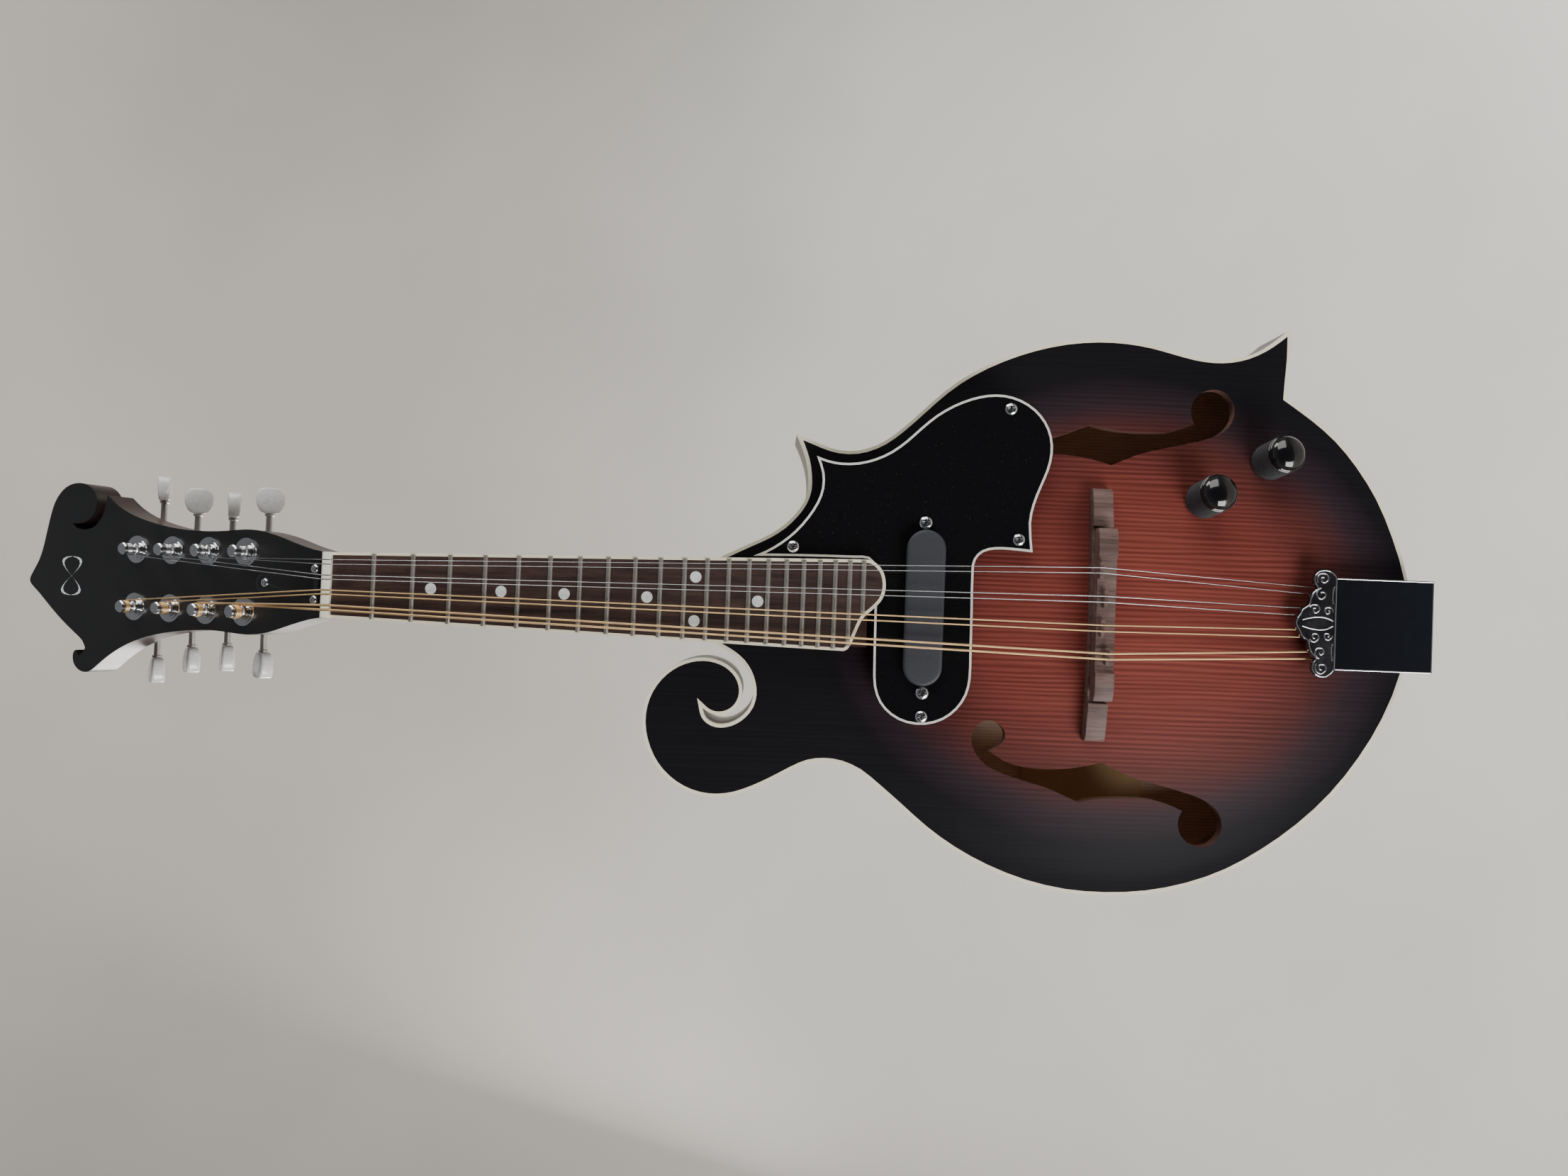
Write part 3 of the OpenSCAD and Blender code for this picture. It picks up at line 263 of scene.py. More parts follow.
def welded(node):
    """The CAD node's corner points in bench millimetres, each once, and its triangles."""
    mesh = frame["nodes"][node].data
    co = np.empty(len(mesh.vertices) * 3, np.float32)
    mesh.vertices.foreach_get("co", co)
    co = co.reshape(-1, 3).astype(float) / MM
    unique, index = np.unique(np.round(co, 3), axis=0, return_inverse=True)
    mesh.calc_loop_triangles()
    tris = np.empty(len(mesh.loop_triangles) * 3, np.int32)
    mesh.loop_triangles.foreach_get("vertices", tris)
    tris = index.reshape(-1)[tris].reshape(-1, 3)
    bench = np.stack([unique[:, 0], unique[:, 2], -unique[:, 1]], -1)
    return bench, tris


def rim_edges(tris):
    """Directed edges that only one of the triangles has."""
    edges = np.vstack([tris[:, [0, 1]], tris[:, [1, 2]], tris[:, [2, 0]]])
    key = np.sort(edges, 1)
    _, first, count = np.unique(key, axis=0, return_index=True, return_counts=True)
    return edges[first[count == 1]]


def soften(node, bevel=0.0, angle=32.0):
    """Joins a CAD node's loose triangles, may round its edges, and shades it smooth but for its sharp edges."""
    piece = frame["nodes"][node]
    mesh = piece.data
    if "custom_normal" in mesh.attributes:
        mesh.attributes.remove(mesh.attributes["custom_normal"])
    mesh.polygons.foreach_set("use_smooth", np.ones(len(mesh.polygons), bool))
    weld = piece.modifiers.new("Join", "WELD")
    weld.merge_threshold = 2e-6
    if bevel:
        flat = piece.modifiers.new("Flat faces", "DECIMATE")
        flat.decimate_type = "DISSOLVE"
        flat.angle_limit = math.radians(0.5)
        edge = piece.modifiers.new("Round edges", "BEVEL")
        edge.width = bevel * MM
        edge.segments = 3
        edge.limit_method = "ANGLE"
        edge.angle_limit = math.radians(35)
        edge.harden_normals = False
    split = piece.modifiers.new("Sharp edges", "EDGE_SPLIT")
    split.split_angle = math.radians(angle)
    return piece


def paint(node, finish, bevel=0.0, angle=32.0):
    """Gives a CAD node its one finish and smooth shading."""
    piece = soften(node, bevel, angle)
    piece.data.materials.clear()
    piece.data.materials.append(finish)


# ---------------------------------------------------------------- finishes


def scaled(colour, k):
    """The colour with its channels multiplied by one number, or by one number each."""
    return tuple(np.multiply(colour, k).tolist())


def shader_of(mat):
    return mat.node_tree.nodes["Principled BSDF"]


def new_finish(name, colour, roughness, metallic=0.0, coat=0.0, coat_roughness=0.1):
    """A material with plain values on its shader."""
    mat = bpy.data.materials.new(name)
    mat.use_nodes = True
    for socket, value in (
        ("Base Color", (*colour, 1)), ("Roughness", roughness), ("Metallic", metallic),
        ("Coat Weight", coat), ("Coat Roughness", coat_roughness), ("IOR", 1.5),
    ):
        shader_of(mat).inputs[socket].default_value = value
    return mat


def add(mat, kind, **settings):
    """A node of the kind, its fields and sockets set by name; an underscore in a socket's name is a space."""
    node = mat.node_tree.nodes.new(kind)
    for key, value in settings.items():
        if hasattr(node, key):
            setattr(node, key, value)
        else:
            node.inputs[key.replace("_", " ")].default_value = value
    return node


def link(mat, source, output, target, socket):
    mat.node_tree.links.new(source.outputs[output], target.inputs[socket])


def colour_output(node):
    return 2 if node.type == "MIX" else 0


def stretched(mat, scale, move=(0, 0, 0)):
    """Object coordinates, stretched and moved."""
    mapping = add(mat, "ShaderNodeMapping", Scale=scale, Location=move)
    link(mat, add(mat, "ShaderNodeTexCoord"), "Object", mapping, "Vector")
    return mapping


def noise(mat, scale, detail=4.0, roughness=0.55, distortion=0.0):
    """Noise on the object coordinates stretched by the scale."""
    node = add(mat, "ShaderNodeTexNoise", Scale=1.0, Detail=detail, Roughness=roughness, Distortion=distortion)
    link(mat, stretched(mat, scale), "Vector", node, "Vector")
    return node


def ramp(mat, source, stops, output="Fac"):
    """A colour ramp over a value; each stop is a place and a colour."""
    node = add(mat, "ShaderNodeValToRGB")
    bar = node.color_ramp
    while len(bar.elements) < len(stops):
        bar.elements.new(1.0)
    for element, (place, colour) in zip(bar.elements, stops):
        element.position = place
        element.color = (*colour, 1)
    link(mat, source, output, node, "Fac")
    return node


def blended(mat, amount, first, second, mode="MULTIPLY", output="Fac"):
    """Blends two colours, each a node or plain values, by an amount that is a number or a node's output."""
    node = add(mat, "ShaderNodeMix", data_type="RGBA", blend_type=mode)
    if isinstance(amount, float):
        node.inputs[0].default_value = amount
    else:
        link(mat, amount, output, node, 0)
    for value, socket in ((first, 6), (second, 7)):
        if isinstance(value, tuple):
            node.inputs[socket].default_value = (*value, 1)
        else:
            link(mat, value, colour_output(value), node, socket)
    return node


def set_colour(mat, node):
    link(mat, node, colour_output(node), shader_of(mat), "Base Color")


def roughened(mat, source, low, high):
    """Sends a pattern, stretched from 0..1 to low..high, to the shader's roughness."""
    node = add(mat, "ShaderNodeMapRange", To_Min=low, To_Max=high)
    link(mat, source, "Fac", node, "Value")
    link(mat, node, "Result", shader_of(mat), "Roughness")


def bumped(mat, source, strength, distance=0.0002, output="Fac"):
    """Raises the surface by a pattern; the distance is in metres."""
    node = add(mat, "ShaderNodeBump", Strength=strength, Distance=distance)
    link(mat, source, output, node, "Height")
    link(mat, node, "Normal", shader_of(mat), "Normal")


def wood_grain(mat, spacing, warp=9.0):
    """Growth lines along the neck: waves across x, whose spacing wanders with stretched noise."""
    wave = add(mat, "ShaderNodeTexWave", wave_type="BANDS", bands_direction="X", wave_profile="SIN",
               Scale=0.32, Distortion=warp, Detail=3.0, Detail_Scale=0.45)
    link(mat, stretched(mat, (1000 / spacing, 7, 40)), "Vector", wave, "Vector")
    return wave


def sunburst(settings):
    """Red-brown spruce that fades through dark red to black, by distance from an oval's centre."""
    mat = new_finish("sunburst_spruce", settings.centre, 0.4, coat=0.02, coat_roughness=0.3)
    shader_of(mat).inputs["Specular IOR Level"].default_value = 0.08
    grain = wood_grain(mat, settings.grain_spacing)
    fibres = noise(mat, (900, 40, 14), 5.0, 0.6)
    lines = ramp(mat, grain, [
        (0.04, (0.55, 0.45, 0.46)), (0.4, (0.9, 0.88, 0.88)), (0.94, (1.3, 1.48, 1.5)),
    ])
    streaks = ramp(mat, fibres, [(0.3, (0.78, 0.76, 0.76)), (0.7, (1.2, 1.18, 1.16))])
    # How far a point is from the oval's centre: 1 on the oval, unevened by a broad cloud, then halved
    rx, rz, centre_z = 0.098, 0.122, -0.365
    length = add(mat, "ShaderNodeVectorMath", operation="LENGTH")
    link(mat, stretched(mat, (1 / rx, 0, 1 / rz), (-0.02, 0, -centre_z / rz)), "Vector", length, 0)
    shifted = add(mat, "ShaderNodeMath", operation="MULTIPLY_ADD")
    link(mat, noise(mat, (9, 0, 9), 2.0), "Fac", shifted, 0)
    shifted.inputs[1].default_value = 0.16
    link(mat, length, "Value", shifted, 2)
    halved = add(mat, "ShaderNodeMath", operation="MULTIPLY")
    link(mat, shifted, "Value", halved, 0)
    halved.inputs[1].default_value = 0.5
    centre = tuple(settings.centre)
    burst = ramp(mat, halved, [
        (0.16, centre), (0.33, scaled(centre, 0.78)), (0.44, scaled(centre, (0.45, 0.5175, 0.5625))),
        (0.53, (0.03, 0.018, 0.024)), (0.6, tuple(settings.edge)),
    ], "Value")
    plain = blended(mat, noise(mat, (160, 30, 22), 4.0, 0.65, 0.6), lines, (1, 1, 1), "MIX")
    fade = ramp(mat, halved, [(0.4, (1, 1, 1)), (0.58, (0.2, 0.2, 0.2))], "Value")
    colour = blended(mat, fade, burst, plain, output="Color")
    set_colour(mat, blended(mat, 0.8, colour, streaks))
    roughened(mat, fibres, 0.4, 0.52)
    bumped(mat, fibres, 0.06, 0.00008)
    return mat


def dark_lacquer(name, colour, roughness=0.38):
    """Near-black satin lacquer over wood, with faint mottling and a fine open grain."""
    mat = new_finish(name, colour, roughness, coat=0.3, coat_roughness=0.3)
    mottle = noise(mat, (30, 30, 9))
    set_colour(mat, ramp(mat, mottle, [(0.3, scaled(colour, 0.7)), (0.7, scaled(colour, 1.35))]))
    roughened(mat, mottle, roughness - 0.05, roughness + 0.07)
    bumped(mat, noise(mat, (1400, 1400, 160), 3.0), 0.05, 0.0001)
    return mat


def bare_wood(name, colour, spacing=1.6):
    """Unfinished pale wood inside the body."""
    mat = new_finish(name, colour, 0.75)
    grain = wood_grain(mat, spacing, 1.4)
    set_colour(mat, ramp(mat, grain, [(0.1, scaled(colour, 0.88)), (0.9, scaled(colour, 1.06))]))
    bumped(mat, grain, 0.2)
    return mat


def rosewood(name, dark, light, roughness, pores=0.5):
    """Streaks of two browns along the neck, with short dark pores."""
    mat = new_finish(name, dark, roughness)
    streak = noise(mat, (420, 420, 14), 6.0, 0.6, 0.4)
    between = scaled(np.add(dark, light), 0.5)
    tone = ramp(mat, streak, [(0.32, dark), (0.5, between), (0.7, light)])
    broad = noise(mat, (90, 90, 5), 3.0)
    shade = ramp(mat, broad, [(0.3, (0.72, 0.7, 0.7)), (0.7, (1.2, 1.18, 1.15))])
    pore = noise(mat, (2600, 2600, 130), 2.0, 0.5)
    holes = ramp(mat, pore, [(0.34, (0.35, 0.33, 0.32)), (0.42, (1, 1, 1))])
    set_colour(mat, blended(mat, pores, blended(mat, 0.9, tone, shade), holes))
    roughened(mat, streak, roughness - 0.08, roughness + 0.1)
    bumped(mat, pore, 0.35, 0.00012)
    return mat


def aged_cream(name, colour, roughness=0.32):
    """Cream celluloid, a little darker in patches."""
    mat = new_finish(name, colour, roughness, coat=0.4, coat_roughness=0.2)
    patches = noise(mat, (60, 60, 60))
    set_colour(mat, ramp(mat, patches, [(0.3, scaled(colour, (0.93, 0.9, 0.84))), (0.7, colour)]))
    roughened(mat, patches, roughness - 0.06, roughness + 0.08)
    return mat


def black_gloss(name, roughness=0.07):
    """Polished black plastic with a few fine specks of dust and hairline marks."""
    black = (0.006, 0.006, 0.007)
    mat = new_finish(name, black, roughness, coat=0.6, coat_roughness=0.04)
    dust = noise(mat, (2200, 2200, 2200), 1.0)
    set_colour(mat, ramp(mat, dust, [(0.74, black), (0.8, (0.09, 0.09, 0.09))]))
    roughened(mat, noise(mat, (26, 26, 60), 5.0, 0.6, 1.2), roughness * 0.6, roughness * 2.2)
    return mat


def black_grain(name, scale=2600, strength=0.6, colour=(0.034, 0.036, 0.045)):
    """Black plastic moulded with a fine pebble texture."""
    mat = new_finish(name, colour, 0.5)
    pebbles = add(mat, "ShaderNodeTexVoronoi", feature="SMOOTH_F1", Scale=1.0)
    link(mat, stretched(mat, (scale, scale, scale)), "Vector", pebbles, "Vector")
    bumped(mat, pebbles, strength, output="Distance")
    roughened(mat, noise(mat, (70, 70, 70)), 0.42, 0.62)
    return mat


def metal(name, colour, roughness=0.1, spots=0.08, metallic=1.0):
    """Plated metal: mirror-like, with soft smudges in its polish."""
    mat = new_finish(name, colour, roughness, metallic)
    smudge = noise(mat, (160, 160, 160), 5.0, 0.6)
    roughened(mat, smudge, roughness * 0.6, roughness + spots)
    set_colour(mat, ramp(mat, smudge, [(0.3, scaled(colour, 0.9)), (0.7, colour)]))
    return mat


def wound_wire(name, colour):
    """Bronze wire wound round a core: fine rings across the string."""
    mat = new_finish(name, colour, 0.3, 0.85)
    rings = add(mat, "ShaderNodeTexWave", wave_type="BANDS", bands_direction="Z", wave_profile="SIN", Scale=1.0)
    link(mat, stretched(mat, (1, 1, 900)), "Vector", rings, "Vector")
    bumped(mat, rings, 0.5, 0.00008)
    # The grooves between the turns are painted darker: painted shade.
    set_colour(mat, ramp(mat, rings, [(0.1, scaled(colour, 0.6)), (0.6, colour)]))
    return mat


def pearl(name):
    """Marbled white plastic pearl: soft bands of white and pale grey under a clear coat."""
    mat = new_finish(name, (0.82, 0.83, 0.82), 0.22, coat=0.8, coat_roughness=0.06)
    shader_of(mat).inputs["Subsurface Weight"].default_value = 0.15
    shader_of(mat).inputs["Subsurface Scale"].default_value = 0.003
    swirl = noise(mat, (130, 130, 130), 4.0, 0.55, 2.2)
    set_colour(mat, ramp(mat, swirl, [
        (0.3, (0.66, 0.68, 0.69)), (0.45, (0.88, 0.89, 0.88)), (0.55, (0.78, 0.79, 0.79)), (0.72, (0.95, 0.95, 0.93)),
    ]))
    roughened(mat, swirl, 0.14, 0.3)
    return mat


# ---------------------------------------------------------------- settings


def colour_setting(name, description, default):
    return FloatVectorProperty(name=name, description=description, default=default, subtype="COLOR", min=0, max=1)


class BodySettings(bpy.types.PropertyGroup):
    centre: colour_setting("Burst centre", "Colour at the middle of the top", (0.215, 0.052, 0.041))
    edge: colour_setting("Burst edge", "Colour at the rim of the top", (0.009, 0.0085, 0.011))
    sides: colour_setting("Sides", "Colour of the sides and back", (0.013, 0.008, 0.008))
    binding: colour_setting("Binding", "Colour of the edge binding", (0.95, 0.9, 0.72))
    grain_spacing: FloatProperty(name="Grain spacing", description="Distance between growth lines, in millimetres",
                                 default=2.3, min=1, max=5)
    cell: FloatProperty(name="Surface cell", description="Spacing of the points on the carved plates, in millimetres",
                        default=3.0, min=1.5, max=8)


class HardwareSettings(bpy.types.PropertyGroup):
    chrome: colour_setting("Plating", "Colour of the plated metal", (0.78, 0.79, 0.81))
    flutes: IntProperty(name="Knob grooves", description="Grooves round a control knob", default=44, min=12, max=80)
    flute_depth: FloatProperty(name="Groove depth", description="Depth of a knob's grooves, in millimetres",
                               default=0.5, min=0, max=1)


class StringSettings(bpy.types.PropertyGroup):
    bronze: colour_setting("Bronze", "Colour of the wound strings", (0.88, 0.6, 0.3))
    steel: colour_setting("Steel", "Colour of the plain strings", (0.6, 0.6, 0.61))
    turns: IntProperty(name="Turns", description="Turns of a string round its post", default=4, min=1, max=6)


class StageSettings(bpy.types.PropertyGroup):
    wall: colour_setting("Backdrop", "Colour of the floor and backdrop", (0.46, 0.435, 0.4))
    light: FloatProperty(name="Light", description="Power of the main light", default=30.0, min=1, max=200,
                         unit="POWER")


# ---------------------------------------------------------------- pieces


def plate_region(node):
    """The plan of a plate's front-facing triangles: its corner points and its directed rim edges."""
    points, tris = welded(node)
    side = 1 if "top" in node else -1
    a, b, c = (points[tris[:, k]] for k in range(3))
    normal = np.cross(b - a, c - a)
    size = np.linalg.norm(normal, axis=1)
    facing = (normal[:, 2] * side > 0.3 * size) & (size > 0)
    outer = side * (a + b + c)[:, 2] / 3 > (-3 if side > 0 else RIM_DEPTH - 3)
    return points, rim_edges(tris[facing & outer])


def inside_of(xy, a, b):
    """True for points with an odd number of rim edges to their right."""
    x, y = xy[:, :1], xy[:, 1:]
    spans = (a[:, 1] > y) != (b[:, 1] > y)
    rise = np.where(b[:, 1] == a[:, 1], 1, b[:, 1] - a[:, 1])
    cross = a[:, 0] + (y - a[:, 1]) / rise * (b[:, 0] - a[:, 0])
    return (spans & (x < cross)).sum(1) % 2 == 1


def rim_distance(xy, a, b):
    ab = b - a
    t = ((xy[:, None] - a) * ab).sum(-1) / np.maximum((ab * ab).sum(-1), 1e-9)
    near = a + np.clip(t, 0, 1)[..., None] * ab
    return np.linalg.norm(xy[:, None] - near, axis=-1).min(1)


def carved_plate(name, node, rise, side, cell, finish, inner_finishes):
    """A plate whose plan is filled with an even grid of points, each lifted to the arch's height there, over an
    inner face at the height of a smaller arch, with a wall down every rim edge."""
    points, rim = plate_region(node)
    used, index = np.unique(rim, return_inverse=True)
    loop = points[used][:, :2]
    edges = index.reshape(-1, 2)
    a, b = loop[edges[:, 0]], loop[edges[:, 1]]
    low, high = loop.min(0), loop.max(0)
    gx, gy = np.meshgrid(np.arange(low[0] + 1, high[0], cell), np.arange(low[1] + 1, high[1], cell * 0.87))
    gx = gx + (np.arange(gx.shape[0])[:, None] % 2) * cell / 2
    grid = np.stack([gx.ravel(), gy.ravel()], -1)
    grid = grid[inside_of(grid, a, b)]
    grid = grid[rim_distance(grid, a, b) > cell * 0.4]
    plan = np.vstack([loop, grid])
    made = delaunay_2d_cdt([Vector(p) for p in plan.tolist()], edges.tolist(), [], 0, 1e-5)
    xy = np.array([tuple(p) for p in made[0]])
    tris = np.array([f for f in made[2] if len(f) == 3])
    tris = tris[inside_of(xy[tris].mean(1), a, b)]
    keep, tris = np.unique(tris, return_inverse=True)
    xy, tris = xy[keep], tris.reshape(-1, 3)
    face = 0.0 if side > 0 else RIM_DEPTH
    outer = np.column_stack([xy, side * (face + arch(xy[:, 0], xy[:, 1], rise))])
    inner = np.column_stack([xy, side * (face - PLATE_T + arch(xy[:, 0], xy[:, 1], rise, ARCH_LEDGE))])
    front = tris if side > 0 else tris[:, ::-1]
    wall = rim_edges(front)
    n = len(xy)
    walls = np.stack([wall[:, 0], wall[:, 0] + n, wall[:, 1] + n, wall[:, 1]], -1)
    faces = front.tolist() + (front[:, ::-1] + n).tolist() + walls.tolist()
    piece = new_piece(name, upright(np.vstack([outer, inner])), faces, "instrument", [finish, *inner_finishes],
                      replaces=(node,))
    inside = np.zeros(len(piece.data.polygons), np.int32)
    inside[len(front):2 * len(front)] = 1
    inside[2 * len(front):] = 2
    piece.data.polygons.foreach_set("material_index", inside)
    return piece


class MANDOLIN_OT_body(bpy.types.Operator):
    """Carved top and back, sides, bindings and the woodwork inside"""

    bl_idname = "mandolin.body"
    bl_label = "Body"

    def execute(self, context):
        settings = context.scene.mandolin_body
        top = sunburst(settings)
        sides = dark_lacquer("dark_sides", tuple(settings.sides))
        bare = bare_wood("bare_maple", (0.9, 0.66, 0.5))
        cut = dark_lacquer("cut_edges", (0.16, 0.085, 0.07))
        lining = bare_wood("lining_wood", (0.6, 0.43, 0.32), 1.2)
        cream = aged_cream("cream_binding", tuple(settings.binding))
        carved_plate("carved_top", "top_plate", TOP_ARCH, 1, settings.cell, top, (bare, cut))
        carved_plate("carved_back", "back_plate", BACK_ARCH, -1, settings.cell, sides, (bare, cut))
        paint("rim", sides)
        paint("front_binding", cream)
        paint("back_binding", cream)
        for node in ("linings", "tone_bars", "neck_block", "tail_block"):
            paint(node, lining)
        paint("label", aged_cream("plain_paper", (0.78, 0.55, 0.3), 0.8))
        paint("wiring", black_grain("wire_rubber", 900, 0.1))
        return {"FINISHED"}


class MANDOLIN_OT_neck(bpy.types.Operator):
    """Neck, headstock, fingerboard, frets, dots and nut"""

    bl_idname = "mandolin.neck"
    bl_label = "Neck and headstock"

    def execute(self, context):
        cream = bpy.data.materials["cream_binding"]
        paint("neck", dark_lacquer("neck_lacquer", (0.03, 0.011, 0.009), 0.4))
        paint("headstock_overlay", dark_lacquer("headstock_black", (0.0065, 0.0065, 0.0075), 0.42))
        paint("headstock_inlay", pearl("pearl_inlay"))
        paint("fingerboard", rosewood("rosewood_board", (0.021, 0.0105, 0.0085), (0.066, 0.034, 0.027), 0.5))
        paint("fingerboard_binding", cream)
        paint("frets", metal("fret_wire", (0.47, 0.45, 0.41), 0.3, 0.1, 0.72), 0.12)
        paint("position_dots", pearl("pearl_dots"))
        paint("nut", aged_cream("bone_nut", (0.95, 0.94, 0.83), 0.3), 0.3)
        paint("truss_rod", metal("rod_steel", (0.5, 0.5, 0.5), 0.3))
        paint("truss_rod_cover", black_gloss("cover_black", 0.25), 0.3)
        plating = tuple(context.scene.mandolin_hardware.chrome)
        paint("truss_cover_screws", metal("small_screws", plating, 0.18), 0.05)
        return {"FINISHED"}


def stadium_ring(inset, height, points=24):
    """A ring of the pickup's outline, moved inwards by the inset: two half circles joined by straight sides."""
    r = max(PICKUP_R - inset, 0.0)
    a = np.linspace(-90, 90, points)
    a = np.radians(np.concatenate([a, a + 180]))
    centre = np.where(np.arange(2 * points) < points, 1, -1) * (PICKUP_HALF - PICKUP_R)
    return np.stack([centre + r * np.cos(a), PICKUP_Y + r * np.sin(a), np.full(2 * points, height)], -1)


class MANDOLIN_OT_guard(bpy.types.Operator):
    """Pickguard, its white edge, the pickup and their screws"""

    bl_idname = "mandolin.guard"
    bl_label = "Pickguard and pickup"

    def execute(self, context):
        paint("pickguard", black_gloss("guard_black"))
        paint("pickguard_edge", aged_cream("white_edge", (0.8, 0.8, 0.78), 0.25))
        paint("guard_posts", bpy.data.materials["dark_sides"])
        paint("guard_screws", metal("guard_screw_plate", tuple(context.scene.mandolin_hardware.chrome), 0.14), 0.08)
        paint("pickup_coil", metal("coil_copper", (0.5, 0.2, 0.08), 0.3))
        levels = ((PICKUP_R, -5.4), (0.0, -5.4), (0.0, 3.2), (0.12, 3.8), (0.45, 4.25), (0.95, 4.46), (1.6, 4.5),
                  (PICKUP_R, 4.5))
        verts, faces = lofted([stadium_ring(inset, height) for inset, height in levels])
        new_piece("pickup_shell", upright(on_guard(verts)), faces, "instrument", black_grain("pickup_black"),
                  replaces=("pickup_cover",))
        return {"FINISHED"}


class MANDOLIN_OT_bridge(bpy.types.Operator):
    """Bridge foot, saddle, posts and thumbwheels"""

    bl_idname = "mandolin.bridge"
    bl_label = "Bridge"

    def execute(self, context):
        wood = rosewood("bridge_rosewood", (0.075, 0.042, 0.036), (0.2, 0.128, 0.112), 0.58, 0.6)
        brass = metal("aged_brass", (0.52, 0.4, 0.2), 0.3)
        paint("bridge_base", wood, 0.5)
        paint("bridge_saddle", wood, 0.35)
        for node in ("bridge_posts", "bass_thumbwheel", "treble_thumbwheel"):
            paint(node, brass, 0.15 if "wheel" in node else 0.0)
        return {"FINISHED"}


def cover_outline():
    """The rim of the tailpiece cover's foremost face, as an ordered loop of bench points."""
    points, tris = welded("tailpiece_cover")
    top = points[:, 2].max()
    flat = tris[(points[tris][:, :, 2] > top - 0.01).all(1)]
    following = {int(i): int(j) for i, j in rim_edges(flat)}
    start = next(iter(following))
    order = [start]
    while following[order[-1]] != start:
        order.append(following[order[-1]])
    return points[order]


def spiral(centre, start_radius, end_radius, start, turns, count=40):
    """Points of a spiral whose radius shrinks evenly with its angle."""
    t = np.linspace(0, 1, count)
    r = start_radius + (end_radius - start_radius) * t
    a = start + turns * 2 * math.pi * t
    return np.stack([centre[0] + r * np.cos(a), centre[1] + r * np.sin(a)], -1)


def leaf(a, b, c, count=16):
    """Points of a parabola from a to c, drawn towards b: the sum of (1-t)^2 a, 2t(1-t) b and t^2 c."""
    t = np.linspace(0, 1, count)[:, None]
    a, b, c = (np.array(v) for v in (a, b, c))
    return a * (1 - t) ** 2 + 2 * b * t * (1 - t) + c * t ** 2


class MANDOLIN_OT_tailpiece(bpy.types.Operator):
    """Tailpiece, its sliding cover with raised leaf scrolls, and the strap button"""

    bl_idname = "mandolin.tailpiece"
    bl_label = "Tailpiece"

    def execute(self, context):
        chrome = metal("tailpiece_chrome", tuple(context.scene.mandolin_hardware.chrome), 0.05, 0.05)
        # The cover's plating is painted darker and bluer than the other chrome: a painted reflection of a dark blue
        # room.
        mirror = metal("cover_painted_blue_reflection", (0.42, 0.45, 0.56), 0.035, 0.03)
        # The field inside the cover's border is painted near black: a painted dark reflection.
        dark = metal("field_painted_dark_reflection", (0.16, 0.16, 0.18), 0.25, 0.1)
        for node in ("tailpiece_base", "tailpiece_screws", "strap_button"):
            paint(node, chrome)
        paint("tailpiece_cover", mirror)
        outline = cover_outline()
        level = outline[0, 2]
        loop = np.vstack([outline, outline[:2]])
        step = rows_unit(np.diff(loop[:, :2], axis=0))
        normal = rows_unit(step[:-1] + step[1:])
        normal = np.stack([-normal[:, 1], normal[:, 0]], -1)
        border = loop[1:-1, :2] + 0.7 * normal
        strokes = [spiral(*scroll) for scroll in SCROLLS] + [leaf(*bend) for bend in LEAVES]
        curves = [np.vstack([border, border[:1]])] + [line * (side, 1) for side in (-1, 1) for line in strokes]
        top = level + SCROLL_LIFT
        verts, faces = joined([lofted(tube(at_height(c, top), SCROLL_R, 8, (0, 0, 1))) for c in curves])
        new_piece("cover_scrollwork", upright(verts), faces, "cover", chrome, 60)
        # A thin sheet over the cover's field, under the scrolls, in the near-black plating: painted dark reflection.
        verts, faces = lofted([at_height(border, level - 0.3), at_height(border, top)])
        new_piece("cover_painted_dark_field", upright(verts), faces, "cover", dark)
        rails = [lofted(tube([(x, y, RAIL_Z) for y in RAIL_Y], RAIL_R, 10)) for x in (-RAIL_X, RAIL_X)]
        end = [(x, RAIL_Y[-1], RAIL_Z) for x in (-RAIL_X, 0.0, RAIL_X)]
        rails.append(lofted(tube(end, RAIL_R * 0.7, 10, (0, 0, 1))))
        verts, faces = joined(rails)
        new_piece("cover_rails", upright(verts), faces, "cover", chrome, 60)
        return {"FINISHED"}


def control_knob(name, node, joint_name, body, settings, finishes):
    """A knob turned on its shaft's axis: its skirt's radius dips where two families of helical grooves cross,
    as the product of two waves of the angle plus and minus the height; above it a thin rim and a shallow dome."""
    place, axis = joint(joint_name)
    skirt = [(KNOB_R, z, 1) for z in np.linspace(GROOVE_LOW, GROOVE_HIGH, 56)]
    profile = [(0.01, 1.2, 0), (8.3, 1.2, 0), *skirt, (8.6, 17.0, 0), (8.3, 17.2, 0), (8.3, 17.5, 0),
               (8.5, 17.7, 0), (8.4, 18.2, 0)]
    bend = np.radians(np.linspace(8, 89, 14))
    dome = np.stack([DOME_R * np.cos(bend), DOME_FOOT + DOME_RISE * np.sin(bend), 0 * bend], -1)
    profile = np.vstack([profile, dome])
    columns = settings.flutes * 5
    rings = revolved(profile[:, :2], columns)
    angle = settings.flutes * np.linspace(0, 2 * math.pi, columns, endpoint=False)
    height = settings.flutes * profile[:, 1:2] / KNOB_R
    groove = 1 - np.sin((angle + height) / 2) ** 2 * np.sin((angle - height) / 2) ** 2
    rings[..., :2] *= (1 - profile[:, 2:] * settings.flute_depth / KNOB_R * groove)[..., None]
    cap = lofted(rings)
    polished = np.repeat(profile[:-1, 1] > GROOVE_HIGH, columns)
    shaft = lofted(revolved([(0.01, -13.5), (3.0, -13.5), (3.0, 1.3), (0.01, 1.3)], 32))
    verts, faces = joined([cap, shaft])
    piece = new_piece(name, verts * MM @ turn_to(axis) + place, faces, body, finishes, 28, (node,))
    shiny = np.zeros(len(faces), np.int32)
    shiny[:len(polished)] = polished
    shiny[len(polished) + 1] = 1
    piece.data.polygons.foreach_set("material_index", shiny)


